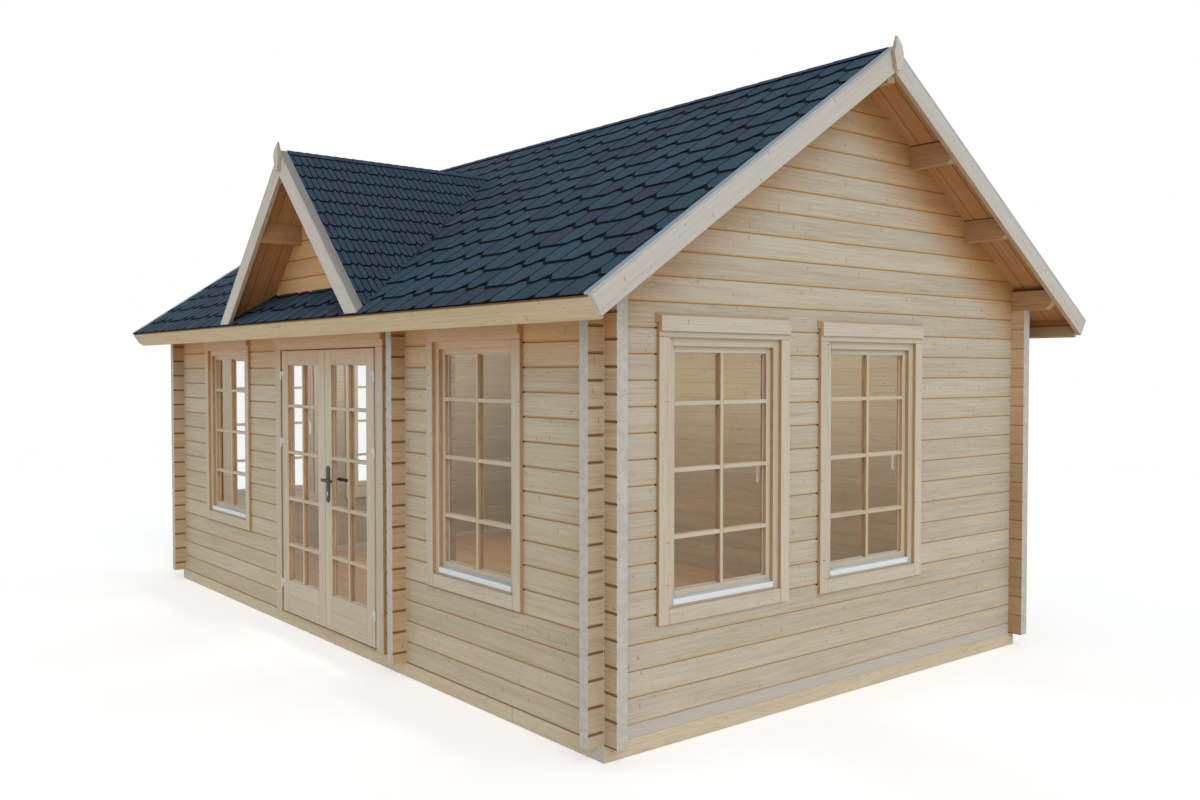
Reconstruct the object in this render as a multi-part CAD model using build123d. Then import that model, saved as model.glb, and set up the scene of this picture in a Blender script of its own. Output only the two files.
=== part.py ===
"""Log cabin with one room, a double door under a dormer, and six barred windows.

Millimetres, +Z up. The origin is on the ground, at the centre of the plan. The door is in the front wall,
which faces -Y, and the gable walls face -X and +X. Heights in the windows and the door count from the top
of the foundation beams, which is also where the first logs lie.
"""
from build123d import *
from math import ceil, cos, pi, radians, sin, tan
import os

# Walls of interlocking logs
wall_length = 6300.0
wall_width = 3800.0
log_height = 135.0
log_thickness = 70.0
log_reach = 100.0
log_groove = 6.0

# Foundation and floor
foundation_height = 92.0
foundation_width = 100.0
joist_width = 45.0
joist_count = 3
floor_thickness = 20.0
floor_gap = 2.0

# Short cross wall beside the door
cross_wall_face = 1150.0
cross_wall_inner = 300.0

# Main roof
roof_pitch = 34.0
gable_overhang = 332.0
eave_overhang = 352.0
board_thickness = 16.0
shingle_thickness = 8.0
shingle_reach = 6.0
strip_thickness = 14.0
strip_width = 75.0
bargeboard_width = 130.0
bargeboard_thickness = 30.0
mitre_gap = 1.0
fascia_width = 122.0
fascia_thickness = 20.0
fascia_setback = 5.0
batten_width = 30.0
batten_height = 36.0
purlin_height = 150.0
purlin_thickness = 70.0
purlin_places = (610.0, 1230.0)
purlin_chamfer = 22.0
plate_chamfer = 45.0

# Dormer over the door
dormer_pitch = 45.0
dormer_rise = 979.0
dormer_overhang = 345.0
dormer_purlin_place = 410.0

# Finials at the three gable tops
finial_thickness = 25.0
finial_above = 52.0
finial_widest = 48.0
finial_below = 148.0
finial_tip_width = 16.0
finial_body_width = 92.0
finial_foot_width = 38.0

# Windows
window_places = (-1950.0, 1950.0)
gable_window_places = (-1047.0, 233.0)
sash_width = 797.0
sash_height = 1346.0
sash_below_leaf = 9.0
sash_rail = 45.0
sash_thickness = 43.0
sash_recess = 24.0
sash_gap = 3.0
sash_lap = 12.0
frame_width = 69.0
trim_lap = 25.0
trim_lap_below = 21.0
trim_width = 73.0
trim_bottom_width = 80.0
trim_top_width = 75.0
trim_thickness = 22.0
trim_gap = 0.5
window_glass_thickness = 8.0
window_glass_recess = 20.0
bar_width = 24.0
window_bar_step = 352.5
window_bar_lift = 7.0
window_bar_count = 3
head_board_above = 31.0
head_board_height = 98.0
head_board_reach = 13.0
head_board_bevel = 20.0
head_board_thickness = 36.0
head_board_fall = 18.0
sill_thickness = 2.0
sill_reach = 4.0
sill_height = 36.0
sill_fall = 5.0
sill_cap = 6.0

# Turn handles inside the windows
rose_width = 26.0
rose_height = 64.0
rose_thickness = 9.0
neck_width = 14.0
grip_width = 18.0
grip_thickness = 12.0
grip_standoff = 34.0
grip_above = 12.0
grip_below = 110.0
grip_corner = 5.0

# Double door
leaf_width = 748.0
leaf_bottom = 16.0
leaf_height = 2006.0
leaf_thickness = 45.0
leaf_proud = 20.0
leaf_stile = 108.0
leaf_top_rail = 110.0
leaf_bottom_rail = 249.0
leaf_rail_joint = 134.0
rail_groove = 2.0
leaf_bar_first = 275.0
leaf_bar_step = 354.3
leaf_bar_count = 4
leaf_gap = 8.0
edge_gap = 5.0
jamb_width = 50.0
stop_width = 25.0
stop_gap = 6.0
threshold_height = 8.0
door_trim_width = 100.0
door_trim_inset = 24.0
door_head_inset = 3.0
door_head_board_above = 47.0
door_glass_thickness = 8.0
upper_hinge_below_top = 187.0
middle_hinge_below_upper = 515.0
lower_hinge_above_foot = 216.0
knuckle_radius = 8.0
knuckle_length = 32.0
knuckle_sides = 12
knuckle_gap = 0.5
hinge_forward = 4.0
hinge_side_shift = 2.5
hinge_leaf_thickness = 2.5
hinge_leaf_width = 30.0
hinge_bracket_gap = 2.0
hinge_pin_radius = 3.5
hinge_pin_length = 52.0
pin_clearance = 0.1
plate_width = 34.0
plate_length = 262.0
plate_thickness = 6.0
plate_corner = 8.0
handle_height = 1090.0
plate_above = 100.0
lever_length = 128.0
lever_height = 18.0
lever_thickness = 11.0
lever_corner = 5.0
lever_standoff = 48.0

# Worked out from the sizes above
half_length = wall_length / 2
half_width = wall_width / 2
base = foundation_height
doorway_half = leaf_gap / 2 + leaf_width + edge_gap + jamb_width
doorway_top = leaf_bottom + leaf_height + edge_gap + jamb_width
wall_courses = ceil(doorway_top / log_height) + 1
plate_bottom = base + wall_courses * log_height
wall_top = plate_bottom + log_height
roof_build = board_thickness + strip_thickness
pitch = radians(roof_pitch)
roof_ridge = wall_top + half_width * tan(pitch) + roof_build / cos(pitch)
roof_run = (half_width + eave_overhang) / cos(pitch)
roof_end = half_length + gable_overhang
board_end = roof_end - bargeboard_thickness
strip_end = roof_end - strip_width
shingle_top = shingle_thickness - strip_thickness
fascia_run = roof_run - fascia_setback
dormer_slope = radians(dormer_pitch)
dormer_ridge = wall_top + dormer_rise
dormer_front = -half_width - dormer_overhang
dormer_board_front = dormer_front + bargeboard_thickness
leaf_top = leaf_bottom + leaf_height
sash_top = leaf_top - sash_below_leaf
sash_bottom = sash_top - sash_height
sill_half = sash_width / 2 - sash_lap
sill_top = sash_bottom + sash_lap
frame_half = sill_half + frame_width
frame_low = sill_top - frame_width
frame_high = sash_top - sash_lap + frame_width
trim_inner = frame_half - trim_lap
trim_outer = trim_inner + trim_width
trim_low = frame_low + trim_lap_below
trim_high = frame_high - trim_lap
trim_top = trim_high + trim_top_width
leaf_edge = leaf_gap / 2 + leaf_width
leaf_back = leaf_thickness - leaf_proud
door_trim_inner = leaf_edge + edge_gap + door_trim_inset
door_trim_outer = door_trim_inner + door_trim_width
door_trim_low = leaf_top + edge_gap + door_head_inset
upper_hinge = leaf_top - upper_hinge_below_top
hinge_heights = (leaf_bottom + lower_hinge_above_foot, upper_hinge - middle_hinge_below_upper, upper_hinge)
far = 20000.0


def block(x0, x1, y0, y1, z0, z1):
    """A box between two corners."""
    size = (x1 - x0, y1 - y0, z1 - z0)
    return Pos((x0 + x1) / 2, (y0 + y1) / 2, (z0 + z1) / 2) * Box(*size)


def prism(points, way):
    """A flat outline, given by its corners, pushed along a vector."""
    outline = make_face(Polyline(*points, close=True))
    return extrude(outline, amount=Vector(*way).length, dir=way)


def gather(pieces):
    """Separate solids of one kind as one shape."""
    solids = []
    for piece in pieces:
        solids.extend(piece.solids())
    return Compound(children=solids)


def course_joints(bottom, top, first):
    """Heights of the joints between logs, strictly between two heights."""
    joints = []
    height = first
    while height < top - log_groove:
        if height > bottom + log_groove:
            joints.append(height)
        height += log_height
    return joints


def log_profile(bottom, top, first, both):
    """Section of a stack of logs as (depth, height) points, grooved at each joint on one face or both."""
    outer = [(0, bottom)]
    inner = [(log_thickness, bottom)]
    inner_groove = log_thickness - log_groove
    for joint in course_joints(bottom, top, first):
        outer += [(0, joint - log_groove), (log_groove, joint), (0, joint + log_groove)]
        if both:
            inner += [(log_thickness, joint - log_groove), (inner_groove, joint)]
            inner.append((log_thickness, joint + log_groove))
    outer.append((0, top))
    inner.append((log_thickness, top))
    return outer + inner[::-1]


def long_logs(x0, x1, bottom, top, side, both):
    """A run of logs along X. Side -1 is the front and side 1 the back."""
    section = log_profile(bottom, top, base + log_height, both)
    points = [(x0, side * (half_width - depth), height) for depth, height in section]
    return prism(points, (x1 - x0, 0, 0))


def long_wall(x0, x1, bottom, top, side):
    """A front or back wall, smooth in the room and grooved all round where the log ends stand out."""
    low, high = max(x0, -half_length), min(x1, half_length)
    wall = long_logs(low, high, bottom, top, side, False)
    if x0 < low:
        wall += long_logs(x0, low, bottom, top, side, True)
    if x1 > high:
        wall += long_logs(high, x1, bottom, top, side, True)
    return wall


def cross_logs(face, side, y0, y1, bottom, top, both):
    """A run of logs along Y, half a log out of step. Side is the way the outer face looks."""
    section = log_profile(bottom, top, base + log_height / 2, both)
    points = [(face - side * depth, y0, height) for depth, height in section]
    return prism(points, (0, y1 - y0, 0))


def notches(x0, x1, y0, y1, first, count):
    """The notches that a log leaves where another crosses it: half a log high, once a course."""
    half = log_height / 2
    cuts = []
    for course in range(count):
        low = first + course * log_height
        cuts.append(block(x0, x1, y0, y1, low, low + half))
    return cuts


def crossing_for_long_wall(x0, x1, side, courses):
    """What the cross logs take out of a long wall between two X planes."""
    inner = side * (half_width - log_thickness - 1)
    outer = side * (half_width + 1)
    y0, y1 = min(inner, outer), max(inner, outer)
    quarter = log_height / 4
    foot = block(x0, x1, y0, y1, base, base + quarter)
    return [foot] + notches(x0, x1, y0, y1, base + 3 * quarter, courses)


def crossing_for_cross_wall(x0, x1, side, courses):
    """What the long wall's logs take out of the logs that cross it."""
    inner = side * (half_width - log_thickness)
    outer = side * half_width
    y0, y1 = min(inner, outer), max(inner, outer)
    return notches(x0 - 1, x1 + 1, y0, y1, base + log_height / 4, courses)


def roof_point(side, run, rise, angle, ridge):
    """A point by its run down a slope and its rise off the top face of the roof, as (across, height)."""
    across = side * (run * cos(angle) + rise * sin(angle))
    height = ridge - run * sin(angle) + rise * cos(angle)
    return across, height


def mitre_run(rise, angle, gap=0.0):
    """Where a slope reaches the upright plane under the ridge, or stops short of it by half a gap."""
    return -rise * tan(angle) + gap / 2 / cos(angle)


def main_slope(side, x0, x1, top, bottom, end, start=None, gap=0.0):
    """A layer of the main roof between two rises, from the ridge or a start to the end of its run."""
    first = mitre_run(top, pitch, gap) if start is None else start
    second = mitre_run(bottom, pitch, gap) if start is None else start
    corners = [(first, top), (end, top), (end, bottom), (second, bottom)]
    points = [(x0, *roof_point(side, run, rise, pitch, roof_ridge)) for run, rise in corners]
    return prism(points, (x1 - x0, 0, 0))


def above_main_roof(rise):
    """Everything above the main front slope at one rise, as a deep prism over the dormer."""
    low = roof_point(-1, 2 * roof_run, rise, pitch, roof_ridge)
    high = roof_point(-1, -roof_run, rise, pitch, roof_ridge)
    points = [(-half_length, *low), (-half_length, *high), (-half_length, low[0], high[1])]
    return prism(points, (wall_length, 0, 0))


def dormer_layer(side, y0, top, bottom, sits_on, gap=0.0):
    """A layer of the dormer roof from one Y plane back to where it runs out on the main roof."""
    end = roof_run
    corners = [
        (mitre_run(top, dormer_slope, gap), top),
        (end, top),
        (end, bottom),
        (mitre_run(bottom, dormer_slope, gap), bottom),
    ]
    flat = [roof_point(side, run, rise, dormer_slope, dormer_ridge) for run, rise in corners]
    points = [(across, y0, height) for across, height in flat]
    return prism(points, (0, half_width - y0, 0)) & above_main_roof(sits_on)


def under_main_roof():
    """The space under both soffits, wide enough for the walls' overhanging ends."""
    ridge = roof_point(1, mitre_run(-roof_build, pitch), -roof_build, pitch, roof_ridge)
    edge = roof_point(1, roof_run, -roof_build, pitch, roof_ridge)
    outline = [(edge[0], 0), edge, ridge, (-edge[0], edge[1]), (-edge[0], 0)]
    points = [(-far / 2, across, height) for across, height in outline]
    return prism(points, (far, 0, 0))


def under_dormer_roof(y0, y1):
    """The space under the dormer's soffits, between two Y planes."""
    top = dormer_ridge - roof_build / cos(dormer_slope)
    half = top - base
    points = [(-half / tan(dormer_slope), y0, base), (half / tan(dormer_slope), y0, base), (0, y0, top)]
    return prism(points, (0, y1 - y0, 0))


def foundation_side_beams():
    """The beams under the gable walls, whose ends show at the front and the back."""
    beams = []
    for side in (-1, 1):
        inner = side * (half_length - foundation_width)
        outer = side * half_length
        beams.append(block(min(inner, outer), max(inner, outer), -half_width, half_width, 0, base))
    return gather(beams)


def foundation_long_beams():
    """The beams under the front and back walls, and the joists between them."""
    reach = half_length - foundation_width
    inner = half_width - foundation_width
    beams = [
        block(-reach, reach, -half_width, -inner, 0, base),
        block(-reach, reach, inner, half_width, 0, base),
    ]
    step = 2 * inner / (joist_count + 1)
    for number in range(joist_count):
        middle = -inner + step * (number + 1)
        beams.append(block(-reach, reach, middle - joist_width / 2, middle + joist_width / 2, 0, base))
    return gather(beams)


def floor():
    """The floor between the walls, cut round the short cross wall."""
    x = half_length - log_thickness - floor_gap
    y = half_width - log_thickness - floor_gap
    slab = block(-x, x, -y, y, base, base + floor_thickness)
    end = -half_width + log_thickness + cross_wall_inner + floor_gap
    x0, x1 = cross_wall_face - log_thickness - floor_gap, cross_wall_face + floor_gap
    notch = block(x0, x1, -half_width, end, 0, far)
    return slab - notch


def window_hole(place, wall):
    """The hole for one window, in its wall's own frame."""
    hole = block(-frame_half, frame_half, -log_thickness, 2 * log_thickness, frame_low, frame_high)
    return on_wall(hole, place, wall)


def on_wall(shape, place, wall):
    """Moves a shape from a window's or door's frame, with Y into the room, to its wall."""
    if wall == "front":
        return Pos(place, -half_width, base) * shape
    if wall == "right":
        return Pos(half_length, place, base) * Rot(0, 0, 90) * shape
    return Pos(-half_length, place, base) * Rot(0, 0, -90) * shape


def all_windows():
    """Where each window is: its place along its wall, and the wall."""
    front = [(place, "front") for place in window_places]
    right = [(place, "right") for place in gable_window_places]
    left = [(place, "left") for place in gable_window_places]
    return front + right + left


def front_wall_part(side):
    """The front wall on one side of the doorway, from the log ends to the door frame."""
    end = side * (half_length + log_reach)
    start = side * doorway_half
    wall = long_wall(min(start, end), max(start, end), base, plate_bottom, -1)
    corner = side * (half_length - log_thickness)
    face = side * half_length
    cuts = crossing_for_long_wall(min(corner, face), max(corner, face), -1, wall_courses)
    if side > 0:
        cuts += crossing_for_long_wall(cross_wall_face - log_thickness, cross_wall_face, -1, wall_courses)
    cuts.append(window_hole(side * window_places[1], "front"))
    return wall - cuts


def front_wall_over_door():
    """The logs over the doorway."""
    return long_wall(-doorway_half, doorway_half, base + doorway_top, plate_bottom, -1)


def back_wall():
    """The plain wall at the back."""
    reach = half_length + log_reach
    wall = long_wall(-reach, reach, base, plate_bottom, 1)
    cuts = []
    for side in (-1, 1):
        corner = side * (half_length - log_thickness)
        face = side * half_length
        cuts += crossing_for_long_wall(min(corner, face), max(corner, face), 1, wall_courses)
    return wall - cuts


def end_chamfers(y0, y1, low, size):
    """The wedges that come off the two lower end corners of a beam along the roof."""
    wedges = []
    for end in (-1, 1):
        tip = end * board_end
        corners = [(tip, y0, low), (tip - end * size, y0, low), (tip, y0, low + size)]
        wedges.append(prism(corners, (0, y1 - y0, 0)))
    return wedges


def wall_plate(side):
    """The top log of a long wall, which runs out under the gable overhangs to carry the roof."""
    plate = long_wall(-board_end, board_end, plate_bottom, wall_top, side)
    quarter = log_height / 4
    y = side * (half_width - log_thickness / 2)
    reach = log_thickness / 2 + 1
    cuts = end_chamfers(y - reach, y + reach, plate_bottom, plate_chamfer)
    for end in (-1, 1):
        corner = end * (half_length - log_thickness)
        face = end * half_length
        x0, x1 = min(corner, face), max(corner, face)
        cuts.append(block(x0, x1, y - reach, y + reach, plate_bottom, plate_bottom + quarter))
        cuts.append(block(x0, x1, y - reach, y + reach, wall_top - quarter, wall_top))
    return plate - cuts


def gable_wall(side):
    """A gable wall with two windows, notched for the long walls and the roof beams."""
    reach = half_width + log_reach
    face = side * half_length
    inner = side * (half_length - log_thickness)
    wall = cross_logs(face, side, -half_width, half_width, base, roof_ridge, False)
    wall += cross_logs(face, side, -reach, -half_width, base, roof_ridge, True)
    wall += cross_logs(face, side, half_width, reach, base, roof_ridge, True)
    wall = wall & under_main_roof()
    x0, x1 = min(face, inner), max(face, inner)
    cuts = []
    for end in (-1, 1):
        cuts += crossing_for_cross_wall(x0, x1, end, wall_courses + 1)
    for place in gable_window_places:
        cuts.append(window_hole(place, "right" if side > 0 else "left"))
    cuts += [ridge_beam()] + main_purlins(-1) + main_purlins(1)
    return wall - cuts


def cross_wall():
    """The short cross wall beside the door, which stiffens the front wall."""
    front = -half_width - log_reach
    back = -half_width + log_thickness + cross_wall_inner
    wall = cross_logs(cross_wall_face, 1, front, back, base, plate_bottom, True)
    wall = wall & under_main_roof()
    return wall - crossing_for_cross_wall(cross_wall_face - log_thickness, cross_wall_face, -1, wall_courses)


def dormer_wall():
    """The front wall's logs going on up through the roof, under the dormer."""
    top = dormer_ridge
    half = top - wall_top
    section = log_profile(base, top, base + log_height, False)
    points = [(-half, -half_width + depth, height) for depth, height in section]
    wall = prism(points, (2 * half, 0, 0))
    wall = wall & under_dormer_roof(-half_width - 1, -half_width + log_thickness + 1)
    wall = wall & above_main_roof(-strip_thickness)
    return wall - dormer_beams()


def ridge_beam():
    """The beam under the main ridge, with its top cut to both slopes."""
    half = purlin_thickness / 2
    top = roof_ridge - roof_build / cos(pitch)
    edge = top - half * tan(pitch)
    low = edge - purlin_height
    outline = [(-half, low), (half, low), (half, edge), (0, top), (-half, edge)]
    return prism([(-board_end, *point) for point in outline], (2 * board_end, 0, 0))


def main_purlins(side):
    """The purlins under one slope, with their tops cut to it."""
    purlins = []
    for place in purlin_places:
        far_face = place + purlin_thickness
        soffit = roof_ridge - roof_build / cos(pitch)
        near_top = soffit - place * tan(pitch)
        far_top = soffit - far_face * tan(pitch)
        low = near_top - purlin_height
        outline = [(place, low), (far_face, low), (far_face, far_top), (place, near_top)]
        points = [(-board_end, side * across, height) for across, height in outline]
        purlin = prism(points, (2 * board_end, 0, 0))
        purlins.append(purlin - end_chamfers(side * place, side * far_face, low, purlin_chamfer))
    return purlins


def dormer_beams():
    """The dormer's ridge beam and two purlins, running back to the main roof."""
    soffit = dormer_ridge - roof_build / cos(dormer_slope)
    slant = tan(dormer_slope)
    half = purlin_thickness / 2
    edge = soffit - half * slant
    low = edge - purlin_height
    outlines = [[(-half, low), (half, low), (half, edge), (0, soffit), (-half, edge)]]
    near = dormer_purlin_place
    away = near + purlin_thickness
    low = soffit - near * slant - purlin_height
    for side in (-1, 1):
        tops = [(side * away, soffit - away * slant), (side * near, soffit - near * slant)]
        outlines.append([(side * near, low), (side * away, low)] + tops)
    beams = []
    for outline in outlines:
        points = [(across, dormer_board_front, height) for across, height in outline]
        beam = prism(points, (0, half_width - dormer_board_front, 0))
        beams.append(beam & above_main_roof(-strip_thickness))
    return beams


def roof_boards(side):
    """The boards of one main slope."""
    return main_slope(side, -board_end, board_end, -strip_thickness, -roof_build, fascia_run)


def dormer_boards():
    """The boards of both dormer slopes."""
    front = dormer_board_front
    sides = []
    for side in (-1, 1):
        sides.append(dormer_layer(side, front, -strip_thickness, -roof_build, shingle_top, mitre_gap))
    return gather(sides)


def shingles(side):
    """The shingle skin of one main slope. The front one leaves room for what stands under the dormer."""
    skin = main_slope(side, -strip_end, strip_end, shingle_top, -strip_thickness, roof_run + shingle_reach)
    if side < 0:
        skin = skin - under_dormer_roof(-half_width, half_width)
    return skin


def dormer_shingles():
    """The shingle skin of both dormer slopes."""
    front = dormer_front + strip_width
    sides = []
    for side in (-1, 1):
        sides.append(dormer_layer(side, front, shingle_top, -strip_thickness, shingle_top, mitre_gap))
    return gather(sides)


def fascias():
    """The boards along both eaves, square to the slope and under the roof boards' ends."""
    low = -roof_build - fascia_width
    start = fascia_run - fascia_thickness
    boards = []
    for side in (-1, 1):
        boards.append(main_slope(side, -board_end, board_end, -roof_build, low, fascia_run, start))
    return gather(boards)


def eave_battens():
    """The battens behind the fascias, which tie them to the roof boards."""
    end = fascia_run - fascia_thickness
    low = -roof_build - batten_height
    battens = []
    for side in (-1, 1):
        battens.append(main_slope(side, -board_end, board_end, -roof_build, low, end, end - batten_width))
    return gather(battens)


def bargeboards(gable):
    """The two boards along one gable, meeting in a mitre under the finial."""
    inner = gable * board_end
    outer = gable * roof_end
    x0, x1 = min(inner, outer), max(inner, outer)
    boards = []
    for side in (-1, 1):
        boards.append(main_slope(side, x0, x1, -strip_thickness, -bargeboard_width, roof_run, gap=mitre_gap))
    return gather(boards)


def dormer_bargeboards():
    """The dormer's two boards, standing on the main roof."""
    boards = []
    for side in (-1, 1):
        layer = dormer_layer(side, dormer_front, -strip_thickness, -bargeboard_width, shingle_top, mitre_gap)
        boards.append(layer & block(-far, far, dormer_front, dormer_board_front, 0, far))
    return gather(boards)


def cover_strips():
    """The strips that cover the tops of the bargeboards and the roof boards' edges at all three gables."""
    strips = []
    for gable in (-1, 1):
        x0, x1 = sorted((gable * strip_end, gable * roof_end))
        for side in (-1, 1):
            strips.append(main_slope(side, x0, x1, 0, -strip_thickness, roof_run, gap=mitre_gap))
    room = block(-far, far, dormer_front, dormer_front + strip_width, 0, far)
    for side in (-1, 1):
        strips.append(dormer_layer(side, dormer_front, 0, -strip_thickness, shingle_top, mitre_gap) & room)
    return gather(strips)


def finial():
    """A pointed board for a gable top, standing up from its own origin at the ridge, facing -Y."""
    tip = finial_tip_width / 2
    body = finial_body_width / 2
    foot = finial_foot_width / 2
    outline = [
        (-foot, -finial_below),
        (foot, -finial_below),
        (body, -finial_widest),
        (tip, finial_above),
        (-tip, finial_above),
        (-body, -finial_widest),
    ]
    board = prism([(x, 0, z) for x, z in outline], (0, -finial_thickness, 0))
    slant = [(0, -finial_thickness, 0), (0, -finial_thickness, finial_above), (0, -tip, finial_above)]
    chamfer_cut = prism([(-body, y, z) for _, y, z in slant], (2 * body, 0, 0))
    return board - chamfer_cut


def finials():
    """One finial on each gable and one on the dormer."""
    return gather(
        [
            Pos(0, dormer_front, dormer_ridge) * finial(),
            Pos(roof_end, 0, roof_ridge) * Rot(0, 0, 90) * finial(),
            Pos(-roof_end, 0, roof_ridge) * Rot(0, 0, -90) * finial(),
        ]
    )


def ring(half, low, high, width, y0, y1):
    """An upright rectangular frame round an opening, given by its outer half width and heights."""
    outer = block(-half, half, y0, y1, low, high)
    return outer - block(-half + width, half - width, y0 - 1, y1 + 1, low + width, high - width)


def window_frame():
    """The fixed frame in the wall. Its front lip laps over the sash and makes room for the sill."""
    behind = frame_width - sash_lap - sash_gap
    frame = ring(frame_half, frame_low, frame_high, frame_width, 0, sash_recess)
    frame += ring(frame_half, frame_low, frame_high, behind, sash_recess, log_thickness)
    return frame - block(-sill_half, sill_half, -1, sash_recess, sill_top - sill_height, sill_top + 1)


def glazing_bars(x0, x1, low, high, heights, y0, y1):
    """One upright bar in the middle of an opening, and level bars at the given heights."""
    middle = (x0 + x1) / 2
    half = bar_width / 2
    bars = block(middle - half, middle + half, y0, y1, low, high)
    for height in heights:
        bars += block(x0, x1, y0, y1, height - half, height + half)
    return bars


def window_sash():
    """The sash, seated on the frame's lip, with glazing bars on both sides of its pane."""
    back = sash_recess + sash_thickness
    sash = ring(sash_width / 2, sash_bottom, sash_top, sash_rail, sash_recess, back)
    half = sash_width / 2 - sash_rail
    low, high = sash_bottom + sash_rail, sash_top - sash_rail
    middle = (low + high) / 2 + window_bar_lift
    lowest = middle - window_bar_step * (window_bar_count - 1) / 2
    heights = [lowest + step * window_bar_step for step in range(window_bar_count)]
    pane_front = sash_recess + window_glass_recess
    pane_back = pane_front + window_glass_thickness
    sash += glazing_bars(-half, half, low, high, heights, sash_recess, pane_front)
    return sash + glazing_bars(-half, half, low, high, heights, pane_back, back)


def window_glass():
    """The pane, held between the sash's rails."""
    half = sash_width / 2 - sash_rail
    front = sash_recess + window_glass_recess
    low, high = sash_bottom + sash_rail, sash_top - sash_rail
    return block(-half, half, front, front + window_glass_thickness, low, high)


def window_trim(y0, y1):
    """Four boards round the window, which lap over its frame."""
    bottom = trim_low - trim_bottom_width
    between = trim_inner - trim_gap
    return [
        block(-trim_outer, -trim_inner, y0, y1, bottom, trim_high),
        block(trim_inner, trim_outer, y0, y1, bottom, trim_high),
        block(-trim_outer, trim_outer, y0, y1, trim_high + trim_gap, trim_top),
        block(-between, between, y0, y1, bottom, trim_low),
    ]


def head_board(half, trim_edge, low):
    """A drip board over a trim, with a top that falls away from the wall and bevelled ends."""
    high = low + head_board_height
    outline = [
        (0, trim_edge),
        (-trim_thickness, trim_edge),
        (-trim_thickness, low),
        (-head_board_thickness, low),
        (-head_board_thickness, high - head_board_fall),
        (0, high),
    ]
    board = prism([(-half, y, z) for y, z in outline], (2 * half, 0, 0))
    face = half - head_board_bevel
    plan = [(-half, 0), (-face, -head_board_thickness), (face, -head_board_thickness), (half, 0)]
    return board & prism([(x, y, low) for x, y in plan], (0, 0, head_board_height))


def window_head_board():
    """The drip board over one window."""
    return head_board(trim_outer + head_board_reach, trim_top, trim_high + head_board_above)


def head_boards():
    """The drip boards over every window and the door."""
    low = door_trim_low + door_head_board_above
    over_door = head_board(door_trim_outer + head_board_reach, trim_top, low)
    pieces = [on_wall(window_head_board(), place, wall) for place, wall in all_windows()]
    return gather(pieces + [on_wall(over_door, 0, "front")])


def window_sill():
    """The bent drip sill in front of the sash's bottom rail, closed by a cap at each end."""
    half = sill_half - trim_gap
    low = sill_top - sill_height
    front = -sill_reach
    outer = [(sash_recess, sill_top), (front, sill_top - sill_fall), (front, low)]
    inner = [
        (front + sill_thickness, low),
        (front + sill_thickness, sill_top - sill_fall - sill_thickness),
        (sash_recess, sill_top - sill_thickness),
    ]
    sill = prism([(-half, y, z) for y, z in outer + inner], (2 * half, 0, 0))
    cap = [(-half, y, z) for y, z in outer + [(sash_recess, low)]]
    sill += prism(cap, (sill_cap, 0, 0))
    return sill + Pos(2 * half - sill_cap, 0, 0) * prism(cap, (sill_cap, 0, 0))


def window_handle(side):
    """The turn handle on the room side of the sash."""
    x = side * (sash_width - sash_rail) / 2
    middle = sash_bottom + sash_height / 2
    face = sash_recess + sash_thickness
    half_rose = rose_width / 2
    half_neck = neck_width / 2
    half_grip = grip_width / 2
    rose = block(x - half_rose, x + half_rose, face, face + rose_thickness, -rose_height / 2, rose_height / 2)
    rose = Pos(0, 0, middle) * rose
    y0 = face + grip_standoff
    neck = block(x - half_neck, x + half_neck, face, y0, middle - half_neck, middle + half_neck)
    low, high = middle - grip_below, middle + grip_above
    grip = block(x - half_grip, x + half_grip, y0, y0 + grip_thickness, low, high)
    return rose + neck + chamfer(grip.edges().filter_by(Axis.Y), grip_corner)


def each_window(make):
    """The same piece or pieces at every window."""
    pieces = []
    for place, wall in all_windows():
        made = make()
        for piece in made if isinstance(made, list) else [made]:
            pieces.append(on_wall(piece, place, wall))
    return gather(pieces)


def window_handles():
    """A handle at each window, towards the back on the gables."""
    pieces = []
    for place, wall in all_windows():
        side = -1 if wall == "left" else 1
        pieces.append(on_wall(window_handle(side), place, wall))
    return gather(pieces)


def door_frame():
    """Jambs and head with a stop behind the leaves, and a threshold with a low stop."""
    face = doorway_half - jamb_width
    head = doorway_top - jamb_width
    stop_front = leaf_back + stop_gap
    frame = block(-doorway_half, doorway_half, 0, log_thickness, 0, doorway_top)
    frame -= block(-face, face, -1, stop_front, threshold_height, head)
    frame -= block(-face + stop_width, face - stop_width, -1, far, floor_thickness, head - stop_width)
    frame += block(-face, face, -leaf_proud, 0, 0, threshold_height)
    return on_wall(frame, 0, "front")


def door_trim(y0, y1):
    """Two upright boards and a board over them round the doorway."""
    return [
        block(-door_trim_outer, -door_trim_inner, y0, y1, 0, door_trim_low),
        block(door_trim_inner, door_trim_outer, y0, y1, 0, door_trim_low),
        block(-door_trim_outer, door_trim_outer, y0, y1, door_trim_low + trim_gap, trim_top),
    ]


def door_trims():
    """The boards round the doorway, outside and inside. The inner ones stand on the floor."""
    outside = door_trim(-trim_thickness, 0)
    inside = door_trim(log_thickness, log_thickness + trim_thickness)
    floor_space = block(-far, far, -far, far, -far, floor_thickness)
    inside = [board - floor_space for board in inside]
    return gather([on_wall(board, 0, "front") for board in outside + inside])


def hinge_axis():
    """The hinge line's distance from the middle of the door, and its depth."""
    across = leaf_edge + edge_gap + door_trim_inset / 2 - hinge_side_shift
    return across, -leaf_proud - hinge_forward


def round_bar(radius, length):
    """An upright bar of many flat sides round its own origin."""
    return Pos(0, 0, -length / 2) * extrude(RegularPolygon(radius, knuckle_sides), amount=length)


def leaf_pane_depths():
    """Where a leaf's pane starts and ends in depth."""
    middle = leaf_thickness / 2 - leaf_proud
    return middle - door_glass_thickness / 2, middle + door_glass_thickness / 2


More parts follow.
